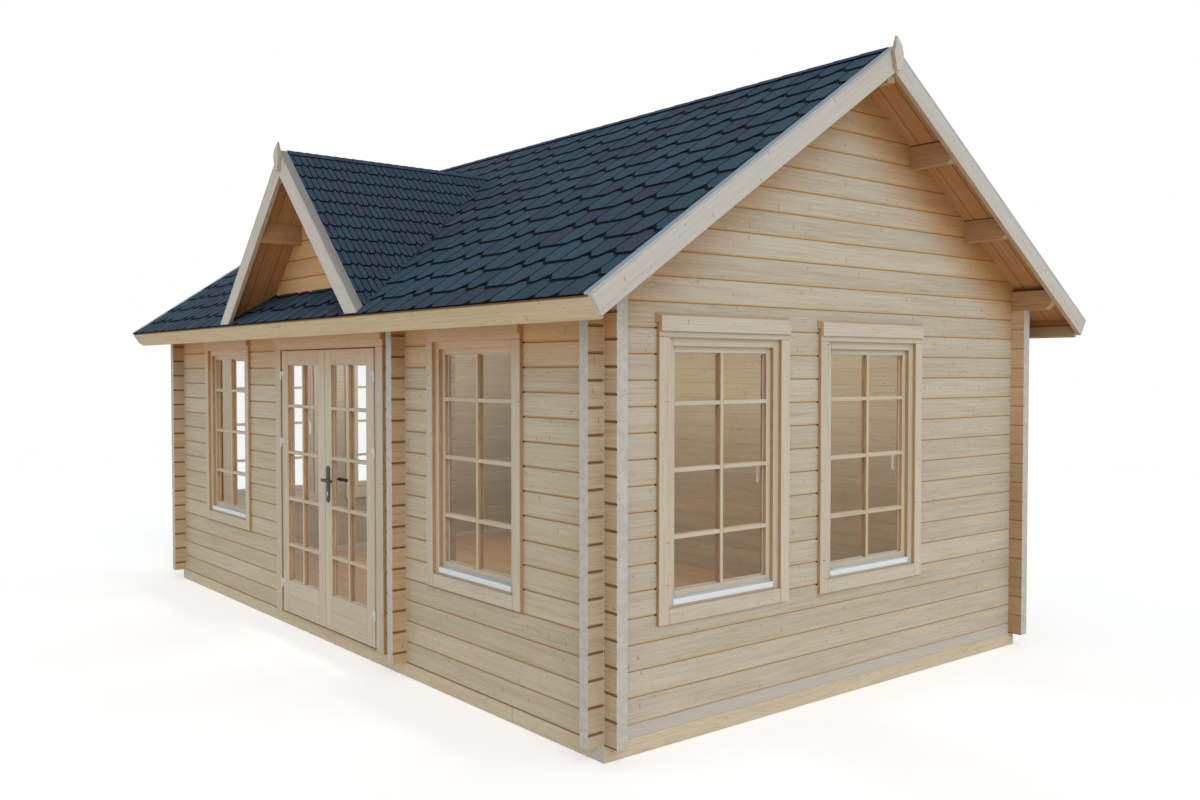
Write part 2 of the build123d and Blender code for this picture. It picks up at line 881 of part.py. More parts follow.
def rail_grooves(x0, x1):
    """The joint between the two boards of a leaf's bottom rail, on both faces."""
    height = leaf_bottom + leaf_rail_joint
    cuts = []
    for face, way in ((-leaf_proud, 1), (leaf_back, -1)):
        bottom = face + way * rail_groove
        corners = [(face, height - rail_groove), (bottom, height), (face, height + rail_groove)]
        cuts.append(prism([(x0, y, z) for y, z in corners], (x1 - x0, 0, 0)))
    return cuts


def door_leaf(side):
    """A leaf: stiles and rails round one tall glazed opening with bars on both sides of the pane."""
    inner, outer = leaf_gap / 2, leaf_edge
    leaf = block(inner, outer, -leaf_proud, leaf_back, leaf_bottom, leaf_top)
    x0, x1 = inner + leaf_stile, outer - leaf_stile
    low, high = leaf_bottom + leaf_bottom_rail, leaf_top - leaf_top_rail
    leaf -= block(x0, x1, -far, far, low, high)
    leaf -= rail_grooves(x0, x1)
    heights = [low + leaf_bar_first + step * leaf_bar_step for step in range(leaf_bar_count)]
    pane_front, pane_back = leaf_pane_depths()
    leaf += glazing_bars(x0, x1, low, high, heights, -leaf_proud, pane_front)
    leaf += glazing_bars(x0, x1, low, high, heights, pane_back, leaf_back)
    if side < 0:
        leaf = mirror(leaf, about=Plane.YZ)
    return on_wall(leaf, 0, "front")


def leaf_glass(side):
    """The pane of one leaf."""
    x0, x1 = sorted((side * (leaf_gap / 2 + leaf_stile), side * (leaf_edge - leaf_stile)))
    pane_front, pane_back = leaf_pane_depths()
    pane = block(x0, x1, pane_front, pane_back, leaf_bottom + leaf_bottom_rail, leaf_top - leaf_top_rail)
    return on_wall(pane, 0, "front")


def hinge_sleeves(side):
    """The upper knuckles and plates, which turn with a leaf."""
    across, depth = hinge_axis()
    bore_radius = (hinge_pin_radius + pin_clearance) / cos(pi / knuckle_sides)
    pieces = []
    for height in hinge_heights:
        low = height + knuckle_gap / 2
        high = low + knuckle_length
        middle = (low + high) / 2
        face = -leaf_proud - hinge_leaf_thickness
        knuckle = Pos(across, depth, middle) * round_bar(knuckle_radius, knuckle_length)
        plate = block(leaf_edge - hinge_leaf_width, across, face, -leaf_proud, low, high)
        bore = Pos(across, depth, middle) * round_bar(bore_radius, 2 * knuckle_length)
        piece = knuckle + plate - bore
        pieces.append(piece if side > 0 else mirror(piece, about=Plane.YZ))
    return gather([on_wall(piece, 0, "front") for piece in pieces])


def hinge_pins():
    """The lower knuckles with their pins and brackets, fixed to the jambs."""
    across, depth = hinge_axis()
    jamb_face = doorway_half - jamb_width
    pieces = []
    for height in hinge_heights:
        top = height - knuckle_gap / 2
        low = top - knuckle_length
        knuckle = Pos(across, depth, (low + top) / 2) * round_bar(knuckle_radius, knuckle_length)
        pin = Pos(across, depth, height) * round_bar(hinge_pin_radius, hinge_pin_length)
        bracket = block(jamb_face + hinge_bracket_gap, across, depth, 0, low, top)
        piece = knuckle + pin + bracket
        pieces += [piece, mirror(piece, about=Plane.YZ)]
    return gather([on_wall(piece, 0, "front") for piece in pieces])


def lever_handle():
    """The long plates and levers on both faces of the right leaf, joined by their spindle."""
    x = (leaf_gap + leaf_stile) / 2
    half = lever_height / 2
    pieces = []
    for face, way in ((-leaf_proud, -1), (leaf_back, 1)):
        y0, y1 = sorted((face, face + way * plate_thickness))
        high = handle_height + plate_above
        plate = block(x - plate_width / 2, x + plate_width / 2, y0, y1, high - plate_length, high)
        plate = chamfer(plate.edges().filter_by(Axis.Y), plate_corner)
        reach = face + way * lever_standoff
        n0, n1 = sorted((face, reach))
        neck = block(x - half, x + half, n0, n1, handle_height - half, handle_height + half)
        neck = chamfer(neck.edges().filter_by(Axis.Y), lever_corner)
        y0, y1 = sorted((reach, reach - way * lever_thickness))
        lever = block(x - half, x + lever_length, y0, y1, handle_height - half, handle_height + half)
        lever = chamfer(lever.edges().filter_by(Axis.Y), lever_corner)
        pieces.append(on_wall(plate + neck + lever, 0, "front"))
    return gather(pieces)


def build():
    """Every node of the cabin by its name."""
    return {
        "foundation_side_beams": foundation_side_beams(),
        "foundation_long_beams": foundation_long_beams(),
        "floor_boards": floor(),
        "front_wall_left": front_wall_part(-1),
        "front_wall_right": front_wall_part(1),
        "front_wall_over_door": front_wall_over_door(),
        "back_wall": back_wall(),
        "left_gable_wall": gable_wall(-1),
        "right_gable_wall": gable_wall(1),
        "wall_plates": gather([wall_plate(-1), wall_plate(1)]),
        "cross_wall": cross_wall(),
        "dormer_gable_wall": dormer_wall(),
        "ridge_beam": ridge_beam(),
        "purlins": gather(main_purlins(-1) + main_purlins(1)),
        "dormer_beams": gather(dormer_beams()),
        "front_roof_boards": roof_boards(-1),
        "back_roof_boards": roof_boards(1),
        "dormer_roof_boards": dormer_boards(),
        "front_shingles": shingles(-1),
        "back_shingles": shingles(1),
        "dormer_shingles": dormer_shingles(),
        "fascia_boards": fascias(),
        "eave_battens": eave_battens(),
        "right_bargeboards": bargeboards(1),
        "left_bargeboards": bargeboards(-1),
        "dormer_bargeboards": dormer_bargeboards(),
        "cover_strips": cover_strips(),
        "finials": finials(),
        "window_frames": each_window(window_frame),
        "window_sashes": each_window(window_sash),
        "window_glass": each_window(window_glass),
        "window_trims": each_window(lambda: window_trim(-trim_thickness, 0)),
        "inner_window_trims": each_window(lambda: window_trim(log_thickness, log_thickness + trim_thickness)),
        "head_boards": head_boards(),
        "window_sills": each_window(window_sill),
        "window_handles": window_handles(),
        "door_frame": door_frame(),
        "door_trims": door_trims(),
        "hinge_pins": hinge_pins(),
        "left_leaf": door_leaf(-1),
        "left_leaf_glass": leaf_glass(-1),
        "left_leaf_hinges": hinge_sleeves(-1),
        "right_leaf": door_leaf(1),
        "right_leaf_glass": leaf_glass(1),
        "right_leaf_hinges": hinge_sleeves(1),
        "lever_handle": lever_handle(),
    }


os.makedirs("parts", exist_ok=True)
for name, shape in build().items():
    export_step(shape, f"parts/{name}.step")
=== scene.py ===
"""Finishes for the log cabin: grain, boards, shingles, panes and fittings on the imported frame."""

import math
import random
from collections import namedtuple

import bmesh
import bpy
from mathutils import Matrix, Vector


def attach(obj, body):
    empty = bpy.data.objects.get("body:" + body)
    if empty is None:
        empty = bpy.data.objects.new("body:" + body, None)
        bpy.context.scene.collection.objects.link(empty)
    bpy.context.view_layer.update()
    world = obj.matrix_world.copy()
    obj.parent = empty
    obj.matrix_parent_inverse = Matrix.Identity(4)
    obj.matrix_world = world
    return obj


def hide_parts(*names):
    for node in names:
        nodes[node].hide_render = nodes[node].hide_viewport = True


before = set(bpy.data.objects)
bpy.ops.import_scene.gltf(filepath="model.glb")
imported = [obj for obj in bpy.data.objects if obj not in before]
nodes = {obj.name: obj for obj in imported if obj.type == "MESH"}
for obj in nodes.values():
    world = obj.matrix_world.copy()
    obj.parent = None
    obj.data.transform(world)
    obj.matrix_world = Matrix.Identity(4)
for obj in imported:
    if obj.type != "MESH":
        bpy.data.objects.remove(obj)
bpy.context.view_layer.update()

# Sizes in metres, the same as in the part's source
BASE = 0.092
LOG = 0.135
HALF_LENGTH, HALF_WIDTH = 3.15, 1.9
WALL = 0.07
PITCH, DORMER_PITCH = math.radians(34), math.radians(45)
WALL_TOP = BASE + 18 * LOG
ROOF_BUILD, STRIP = 0.030, 0.014
RIDGE = WALL_TOP + HALF_WIDTH * math.tan(PITCH) + ROOF_BUILD / math.cos(PITCH)
ROOF_RUN = (HALF_WIDTH + 0.352) / math.cos(PITCH)
ROOF_END = HALF_LENGTH + 0.332
BOARD_END = ROOF_END - 0.030
RAKE_STRIP, DORMER_STRIP, RAKE_TOP = 0.050, 0.060, -0.003
SHINGLE_END = ROOF_END - RAKE_STRIP - 0.001
DORMER_RIDGE = WALL_TOP + 0.979
DORMER_FRONT = -HALF_WIDTH - 0.345
SHINGLE_FRONT = DORMER_FRONT + DORMER_STRIP + 0.001
FLOOR_BOARD = 0.096
FRONT_WINDOWS, GABLE_WINDOWS = (-1.95, 1.95), (-1.047, 0.233)
WINDOWS = [(place, "front") for place in FRONT_WINDOWS]
WINDOWS += [(place, wall) for wall in ("right", "left") for place in GABLE_WINDOWS]


# Materials

class Value:
    """One output of a node, with plain arithmetic. Vectors are taken part by part."""

    def __init__(self, graph, socket):
        self.graph, self.socket = graph, socket

    def __add__(self, other):
        return self.graph.math("ADD", self, other)

    def __sub__(self, other):
        return self.graph.math("SUBTRACT", self, other)

    def __rsub__(self, other):
        return self.graph.math("SUBTRACT", other, self)

    def __mul__(self, other):
        return self.graph.math("MULTIPLY", self, other)

    def __truediv__(self, other):
        return self.graph.math("DIVIDE", self, other)

    def __neg__(self):
        return self * -1.0

    def __abs__(self):
        return self.graph.math("ABSOLUTE", self)


class Graph:
    """The nodes of a new material or world, with short calls for the usual ones."""

    def __init__(self, name, new_block=bpy.data.materials.new):
        self.owner = new_block(name)
        self.owner.use_nodes = True
        self.tree = self.owner.node_tree
        self.tree.nodes.clear()

    def put(self, socket, value):
        if isinstance(value, Value):
            self.tree.links.new(value.socket, socket)
        else:
            if isinstance(value, tuple) and socket.type == "RGBA":
                value = (*value, 1.0)
            socket.default_value = value

    def node(self, kind, output, inputs=(), **settings):
        """A new node's named output, or the node itself where output is None."""
        made = self.tree.nodes.new(kind)
        for key, value in settings.items():
            setattr(made, key, value)
        for key, value in dict(inputs).items():
            self.put(made.inputs[key], value)
        return made if output is None else Value(self, made.outputs[output])

    def math(self, operation, *values):
        sockets = [v.socket.type for v in values if isinstance(v, Value)]
        vector = "VECTOR" in sockets or any(isinstance(v, tuple) for v in values)
        kind = "ShaderNodeVectorMath" if vector else "ShaderNodeMath"
        output = "Value" if operation == "LENGTH" else 0
        return self.node(kind, output, dict(enumerate(values)), operation=operation)

    def mix(self, factor, a, b, blend="MIX"):
        inputs = {0: factor, 6: a, 7: b}
        return self.node("ShaderNodeMix", 2, inputs, data_type="RGBA", blend_type=blend, clamp_factor=True)

    def step(self, value, low, high):
        """A smooth step from 0 at low to 1 at high."""
        inputs = {0: value, 1: low, 2: high}
        return self.node("ShaderNodeMapRange", 0, inputs, interpolation_type="SMOOTHSTEP")

    def wave(self, value, sharpness):
        """Narrow crests of a sine, from 0 to 1."""
        return self.math("POWER", self.math("SINE", value) * 0.5 + 0.5, sharpness)

    def noise(self, vector, scale, detail=3.0, rough=0.55):
        inputs = {"Vector": vector, "Scale": scale, "Detail": detail, "Roughness": rough}
        return self.node("ShaderNodeTexNoise", "Fac", inputs)

    def cells(self, vector, scale=1.0, **inputs):
        """Voronoi cells: distance, middle and three random values."""
        made = self.node("ShaderNodeTexVoronoi", None, {"Vector": vector, "Scale": scale, **inputs})
        keys = ("Distance", "Position", "Color")
        distance, middle, colour = (Value(self, made.outputs[key]) for key in keys)
        return distance, middle, self.split(colour)

    def lottery(self, number):
        """Three random values for each whole number."""
        return self.split(self.node("ShaderNodeTexWhiteNoise", "Color", {"W": number}, noise_dimensions="1D"))

    def here(self):
        """The point on the surface, in metres."""
        return self.node("ShaderNodeTexCoord", "Object")

    def split(self, vector):
        made = self.node("ShaderNodeSeparateXYZ", None, {"Vector": vector})
        return [Value(self, output) for output in made.outputs]

    def join(self, x, y, z):
        return self.node("ShaderNodeCombineXYZ", 0, {"X": x, "Y": y, "Z": z})

    def surface(self, shader, kind="ShaderNodeOutputMaterial"):
        self.node(kind, None, {"Surface": shader})
        return self.owner

    def finish(self, colour, roughness, height, strength, distance, **more):
        bump = self.node("ShaderNodeBump", 0, {"Strength": strength, "Distance": distance, "Height": height})
        inputs = {"Base Color": colour, "Roughness": roughness, "Normal": bump}
        inputs.update({key.replace("_", " "): value for key, value in more.items()})
        return self.surface(self.node("ShaderNodeBsdfPrincipled", 0, inputs))


def shade(colour, share):
    return tuple(share * v for v in colour)


def spots(g, place, spread, reach):
    """Scattered spots: distance from the nearest one, in parts of its reach, and three random values."""
    stretched = place * spread
    _, middle, picked = g.cells(stretched, Randomness=0.9)
    away = (stretched - middle) / tuple(s * r for s, r in zip(spread, reach))
    return g.math("LENGTH", away), picked


def grain(g, place, tone, pale, deep, knot, knot_share=1.0):
    """Colour and height of planed spruce. Place is along, across and into the board, in metres."""
    warp = g.noise(place * (1.2, 6.0, 6.0), 1.0, 2.0)
    streak = g.noise(place * (2.2, 95.0, 95.0), 1.0, 5.0, 0.65)
    cloud = g.noise(place * (0.8, 7.0, 7.0), 1.0)
    fine = g.noise(place * (14.0, 380.0, 380.0), 1.0, 2.0)
    _, across, into = g.split(place)
    late = g.wave(across * 560.0 + warp * 85.0 + into * 160.0, 3.0)
    share = g.step(streak, 0.34, 0.68) * 0.54 + late * 0.26 + g.step(cloud, 0.38, 0.66) * 0.24
    colour = g.mix(share + (fine - 0.5) * 0.9, pale, deep)
    # Wavy dark lines where the growth rings are cut flat
    bold = g.wave(across * 150.0 + warp * 46.0, 9.0) * g.step(cloud, 0.42, 0.60) * g.step(streak, 0.38, 0.55)
    colour = g.mix(bold * 0.22, colour, shade(deep, 0.72))
    # Flat cuts through branches: short grey marks across the grain
    away, picked = spots(g, place, (5.5, 8.5, 4.0), (0.0042, 0.016, 1.0))
    mark = g.step(away, 1.25, 0.55) * g.step(picked[2], 0.70, 0.74)
    colour = g.mix(mark * (0.78 * knot_share), colour, (0.30, 0.235, 0.16))
    # Knots with a halo, round in true size though their cells are long
    away, picked = spots(g, place, (2.8, 8.0, 3.2), (1.4, 1.0, 1.0))
    ratio = away / (picked[0] * 0.008 + 0.004)
    present = g.step(picked[1], 0.34, 0.38)
    heart = g.step(ratio, 1.15, 0.7) * present
    colour = g.mix(g.step(ratio, 3.2, 0.9) * present * (0.30 * knot_share), colour, deep)
    colour = g.mix(heart * (0.74 * knot_share), colour, knot)
    # Short dark flecks of resin
    distance, _, picked = g.cells(place * (16.0, 70.0, 40.0))
    fleck = g.step(distance, 0.24, 0.12) * g.step(picked[0], 0.88, 0.91)
    colour = g.mix(fleck * (0.55 * knot_share), colour, knot)
    # Each board has its own depth of colour
    colour = g.mix(tone * 0.17, colour, deep, "MULTIPLY")
    return colour, streak * 0.8 + late * 0.35 - heart


END_GREY = ((0.56, 0.54, 0.50), (0.48, 0.455, 0.41), (0.40, 0.35, 0.28))


def end_grain(g, place, tones=END_GREY):
    """Sawn end grain with faint rings and pores. Place is in metres."""
    speck = g.noise(place, 230.0, 3.0, 0.7)
    cloud = g.noise(place, 26.0)
    _, across, into = g.split(place)
    rings = g.math("SINE", g.math("SQRT", across * across + into * into) * 900.0 + cloud * 9.0)
    colour = g.mix(g.step(cloud, 0.35, 0.68), tones[0], tones[1])
    colour = g.mix(g.step(speck, 0.50, 0.70) * 0.55, colour, tones[2])
    return g.mix(g.step(rings, 0.2, 1.0) * 0.14, colour, tones[2])


def under_roof(g, x, y, z):
    """How far a point lies below the main roof's soffit, square to it."""
    soffit = abs(y) * -math.tan(PITCH) + (RIDGE - ROOF_BUILD / math.cos(PITCH))
    return (soffit - z) * math.cos(PITCH)


# The logs: widths of the marks at their joints, and colours along X and along Y
OCHRE_REACH, PALE_REACH, LINE_REACH = (0.0122, 0.0088), (0.0075, 0.0050), (0.0026, 0.0010)
HOLE_REACH, HOLE_OUT, SEAT_REACH = (0.0065, 0.0045), (0.012, 0.007), (0.0065, 0.0035)
PALE = {"x": (0.60, 0.545, 0.425), "y": (0.59, 0.55, 0.455)}
DEEP = {"x": (0.475, 0.385, 0.255), "y": (0.465, 0.39, 0.28)}
KNOT = (0.20, 0.135, 0.085)
# The ochre and pale groove colours, the dark colours beside the trims and at the foot of the first log, and
# the tints under the eaves, indoors and on the log ends are painted shade and light
OCHRE = {"x": (0.50, 0.28, 0.10), "y": (0.56, 0.375, 0.165)}
JOINT, HOLE_SHADE, SEAT_SHADOW = (0.20, 0.11, 0.045), (0.035, 0.020, 0.010), (0.060, 0.030, 0.013)
EAVE_SHADE_TINT = {"x": (1.38, 0.97, 0.58), "y": (1.02, 0.60, 0.235)}
EAVE_SHADE_DEPTH = {"x": (0.56, 0.22), "y": (0.50, 0.02)}
INDOOR_LOW_SHADE = (0.68, 0.61, 0.53)
WHITISH, GREYISH = (0.555, 0.53, 0.485), (0.44, 0.41, 0.355)
STUB, STUB_GROOVE_SHADE = (0.86, 0.755, 0.61), (0.17, 0.075, 0.028)
BACK_STUB, LEFT_STUB = (1.16, 0.87, 0.67), (0.94, 0.70, 0.46)


def log_material(name, along, first, trims, band=False):
    """Logs along X or Y: each log its own grain, painted shade and highlight in the grooves, pale ends,
    painted warm shade under the eaves and on the log ends.
    """
    g = Graph(name)
    here = g.here()
    x, y, z = g.split(here)
    height = z - (BASE + first)
    number = g.math("FLOOR", height / LOG)
    picked = g.lottery(number)
    run, into = (x, y) if along == "x" else (y, x)
    place = g.join(run + picked[1] * 23.0, z + picked[2], into)
    colour, bump = grain(g, place, picked[0], PALE[along], DEEP[along], KNOT)
    # Painted shade and highlight in the grooves: the part of each groove that looks down is painted ochre as
    # its shade, and the part that looks up is painted pale as its lit face
    within = height - number * LOG
    inner = HALF_WIDTH - WALL
    outdoors = g.step(abs(y), inner + 0.004, inner + 0.008)
    if along == "y":
        side = HALF_LENGTH - WALL
        outdoors = g.math("MAXIMUM", outdoors, g.step(abs(x), side + 0.004, side + 0.008))
    above = LOG - within
    upper = g.step(within, *OCHRE_REACH) * outdoors
    lower = g.step(above, *PALE_REACH) * outdoors
    colour = g.mix(upper * 0.92, colour, OCHRE[along])
    colour = g.mix(lower * 0.55, colour, WHITISH)
    line = g.step(g.math("PINGPONG", height, LOG / 2), *LINE_REACH)
    colour = g.mix(line * (outdoors * 0.30 + 0.40), colour, JOINT)
    # Painted shade: the grooves run on behind the trims, and small dark spots at the trims' edges stand for
    # the shade in them
    groove = g.math("MAXIMUM", g.step(within, *HOLE_REACH), g.step(above, *HOLE_REACH))
    outward, face = (-y, HALF_WIDTH) if along == "x" else (abs(x), HALF_LENGTH)
    groove = groove * g.step(outward, face - 0.020, face - 0.016)
    for middle, half, low, high in trims:
        away = abs(run - middle) - half
        level = abs(z - (BASE + (low + high) / 2))
        beside = g.step(away, *HOLE_OUT) * g.step(level, (high - low) / 2 + 0.002, (high - low) / 2)
        colour = g.mix(groove * beside * 0.92, colour, HOLE_SHADE)
    # Painted shadow: a dark line at the foot of the first log, where it sits on the foundation
    if first == 0.0:
        colour = g.mix(g.step(abs(z - BASE), *SEAT_REACH) * 0.88, colour, SEAT_SHADOW)
    # Painted shade and bounce light under the eaves: wood close below the roof's soffit is tinted warmer, and
    # on the walls along X also brighter
    kept = g.step(under_roof(g, x, y, z), *EAVE_SHADE_DEPTH[along]) * (outdoors * 0.92)
    colour = g.mix(kept, colour, EAVE_SHADE_TINT[along], "MULTIPLY")
    # Painted shade: indoors the lower logs are darker
    colour = g.mix(g.step(z, 2.0, 0.9) * (outdoors * -0.85 + 0.85), colour, INDOOR_LOW_SHADE, "MULTIPLY")
    if band:
        low = g.step(z, BASE + 0.0680, BASE + 0.0670) * g.step(abs(y), inner + 0.002, inner)
        colour = g.mix(low * 0.9, colour, g.mix(g.step(bump, 0.15, 0.85), GREYISH, WHITISH))
    # Painted shade and bounce light: the log ends beyond a crossing are tinted darker and warmer, brighter at
    # the back and warmer away from the right corner
    corner = HALF_LENGTH if along == "x" else HALF_WIDTH
    beyond = g.step(abs(run), corner + 0.001, corner + 0.006)
    if along == "x":
        painted_stub_light = g.mix(g.step(y, 0.0, 1.0), STUB, BACK_STUB)
    else:
        painted_stub_light = g.mix(g.step(x, HALF_LENGTH - 0.3, HALF_LENGTH - 0.6), STUB, LEFT_STUB)
    colour = g.mix(beyond * 0.80, colour, painted_stub_light, "MULTIPLY")
    # Painted shade: on these log ends the groove marks are darker still
    colour = g.mix(g.math("MAXIMUM", upper, lower) * beyond * 0.72, colour, STUB_GROOVE_SHADE)
    facing = g.split(g.node("ShaderNodeTexCoord", "Normal"))["xy".index(along)]
    colour = g.mix(g.step(abs(facing), 0.6, 0.8), colour, end_grain(g, here))
    return g.finish(colour, bump * 0.10 + 0.58, bump, 0.35, 0.0012, Specular_IOR_Level=0.28)


def board_material(
    name, pale, deep, edge, knot=KNOT, knots=1.0, rough=0.56, end=None, shaded=False, soffit_contact_shade=False,
):
    """Boards whose mesh carries its own grain direction, tone and edges."""
    g = Graph(name)
    place = g.node("ShaderNodeAttribute", "Vector", attribute_name="grain")
    tone, kind = (g.node("ShaderNodeAttribute", "Fac", attribute_name=key) for key in ("tone", "side"))
    colour, bump = grain(g, place, tone, pale, deep, knot, knots)
    # Painted shade: narrow sides and ends take the edge colour, tops part of it
    narrow = g.mix(g.step(bump, 0.2, 0.9), edge, shade(edge, 0.72))
    colour = g.mix(g.step(kind, 0.2, 0.4) * 0.80, colour, narrow)
    if end:
        colour = g.mix(g.step(kind, 0.7, 0.9), colour, end_grain(g, place, end))
    if soffit_contact_shade or shaded:
        below = under_roof(g, *g.split(g.here()))
    if soffit_contact_shade:
        # Painted shadow: a dark line where the top of a beam meets the soffit
        contact = g.step(below, 0.010, 0.005) * g.step(below, -0.006, -0.003)
        colour = g.mix(contact * 0.85, colour, (0.045, 0.018, 0.007))
    if shaded:
        # Painted shade and bounce light under the eaves: warmer and brighter close below the soffit
        colour = g.mix(g.step(below, 0.54, 0.20) * 0.85, colour, (1.32, 0.94, 0.60), "MULTIPLY")
    return g.finish(colour, bump * 0.12 + rough, bump, 0.35, 0.001, Specular_IOR_Level=0.28)


def floor_material():
    """Floor boards along X, each with its own tone, with dark joints."""
    g = Graph("floor_wood")
    x, y, z = g.split(g.here())
    picked = g.lottery(g.math("FLOOR", y / FLOOR_BOARD))
    place = g.join(picked[1] * 17.0 + x, y + picked[2], z)
    colour, bump = grain(g, place, picked[0], (0.46, 0.325, 0.195), (0.35, 0.215, 0.11), (0.12, 0.05, 0.02))
    joint = g.step(g.math("PINGPONG", y, FLOOR_BOARD / 2), 0.0024, 0.0010)
    colour = g.mix(joint * 0.85, colour, (0.06, 0.03, 0.015))
    bump = bump - joint * 2.0
    return g.finish(colour, bump * 0.1 + 0.42, bump, 0.35, 0.001, Specular_IOR_Level=0.35)


def shingle_material():
    """Mineral-surfaced bitumen: slate blue granules, some tabs greyer, near black on the cut edges, the band
    behind each tab and the felt, partly the bitumen's own dark edge and partly painted shadow under the butts
    and in the joints.
    """
    g = Graph("bitumen_shingle")
    place = g.here()
    tone, side = (g.node("ShaderNodeAttribute", "Fac", attribute_name=key) for key in ("tone", "side"))
    grains, _, picked = g.cells(place, 520.0)
    speck = picked[0]
    cloud = g.noise(place, 5.0, 4.0, 0.6)
    blotch = g.noise(place * (1.0, 0.35, 0.35), 95.0, 3.0, 0.7)
    slate = g.mix(g.step(tone, 0.0, 0.75), (0.048, 0.088, 0.126), (0.038, 0.066, 0.098))
    for share, colour in (
        (g.step(tone, 0.72, 0.80) * 0.75, (0.046, 0.056, 0.082)),
        (g.step(cloud, 0.35, 0.7) * 0.30, (0.050, 0.084, 0.118)),
        (g.step(speck, 0.72, 0.95) * 0.35, (0.120, 0.175, 0.215)),
        (g.step(blotch, 0.54, 0.76) * 0.42, (0.085, 0.130, 0.170)),
        (g.step(speck, 0.30, 0.05) * 0.45, (0.014, 0.020, 0.030)),
        # Painted shadow, partly the bitumen's own dark edge: tab sides, the band behind them and the felt are
        # near black
        (g.step(side, 0.3, 0.7), (0.004, 0.007, 0.012)),
    ):
        slate = g.mix(share, slate, colour)
    return g.finish(slate, speck * 0.10 + 0.88, grains, 0.4, 0.0012, Specular_IOR_Level=0.06)


def metal_material(name, colour, dull, rough, metallic, top=None):
    """Metal with brushing, a little dirt and uneven gloss. Top is the colour of faces that look up, a painted
    reflection of the sky.
    """
    g = Graph(name)
    place = g.here()
    brushed = g.noise(place * (60.0, 60.0, 900.0), 1.0)
    cloud = g.noise(place, 22.0, 4.0)
    tint = g.mix(g.step(cloud, 0.35, 0.75) * 0.6, colour, dull)
    tint = g.mix(g.step(brushed, 0.4, 0.8) * 0.12, tint, dull)
    if top:
        # Painted reflection: faces that look up take a blue-grey sky colour
        up = g.split(g.node("ShaderNodeTexCoord", "Normal"))[2]
        tint = g.mix(g.step(up, 0.5, 0.8), tint, top)
    return g.finish(tint, cloud * 0.22 + rough, brushed, 0.05, 0.0002, Metallic=metallic)


def glass_material():
    """Clear glazing: the light passes, and the sheet reflects more at a slant."""
    g = Graph("pane_glass")
    haze = g.noise(g.here(), 3.0, 4.0)
    tint = g.mix(g.step(haze, 0.3, 0.7), (0.988, 0.990, 0.990), (0.980, 0.984, 0.986))
    clear = g.node("ShaderNodeBsdfTransparent", 0, {"Color": tint})
    shine = g.node("ShaderNodeBsdfGlossy", 0, {"Roughness": 0.02, "Color": (0.90, 0.95, 1.0)})
    slant = g.node("ShaderNodeFresnel", 0, {"IOR": 1.58})
    entering = 1.0 - g.node("ShaderNodeNewGeometry", "Backfacing")
    share = slant * entering * (haze * 0.10 + 0.80)
    return g.surface(g.node("ShaderNodeMixShader", 0, {0: share, 1: clear, 2: shine}))


TRIM_HALF, TRIM_LOW, TRIM_TOP, DOOR_TRIM = 0.5035, 0.551, 2.120, 0.881
CROSS_WALL, CROSS_HALF = 1.02, 0.085
BESIDE_X = [(place, TRIM_HALF, TRIM_LOW, TRIM_TOP) for place in FRONT_WINDOWS]
BESIDE_X += [(0.0, DOOR_TRIM, 0.0, TRIM_TOP), (CROSS_WALL, CROSS_HALF, 0.0, 18 * LOG)]
BESIDE_Y = [(place, TRIM_HALF, TRIM_LOW, TRIM_TOP) for place in GABLE_WINDOWS]
LOGS_X = log_material("logs_along_x", "x", 0.0, BESIDE_X)
LOGS_Y = log_material("logs_along_y", "y", LOG / 2, BESIDE_Y, band=True)

# Each wood has a pale colour, a deep colour and the colour of its narrow edges, which is mostly a painted
# shade on those sides
STRIP_EDGE = (0.60, 0.57, 0.51)
BROWN_END = ((0.50, 0.36, 0.22), (0.42, 0.28, 0.16), (0.30, 0.18, 0.09))
TRIM = board_material(
    "trim_boards", (0.62, 0.58, 0.49), (0.51, 0.44, 0.325), (0.50, 0.27, 0.10), knots=0.9, shaded=True)
JOINERY = board_material(
    "joinery", (0.62, 0.57, 0.47), (0.52, 0.44, 0.32), (0.48, 0.255, 0.095),
    knots=0.35, rough=0.5, shaded=True)
PALE_BOARD = board_material(
    "rake_boards", (0.625, 0.605, 0.56), (0.525, 0.49, 0.425), (0.46, 0.30, 0.16), knots=0.9, end=END_GREY)
FASCIA = board_material(
    "fascia_wood", (0.64, 0.54, 0.36), (0.54, 0.41, 0.23), (0.40, 0.23, 0.09), end=END_GREY)
BASE_WOOD = board_material(
    "foundation_wood", (0.64, 0.57, 0.44), (0.53, 0.43, 0.285), (0.52, 0.43, 0.30), end=END_GREY)
# Painted shade: beams and soffit boards are a darker, more orange copy of the wood, standing for the warm
# shade under the roof
BEAM = board_material(
    "beam_wood", (0.54, 0.34, 0.18), (0.40, 0.21, 0.09), (0.46, 0.27, 0.13), (0.12, 0.05, 0.02),
    end=BROWN_END, soffit_contact_shade=True)
SOFFIT = board_material(
    "soffit_boards", (0.54, 0.29, 0.12), (0.42, 0.19, 0.07), (0.15, 0.060, 0.022), (0.13, 0.05, 0.02), 0.6)
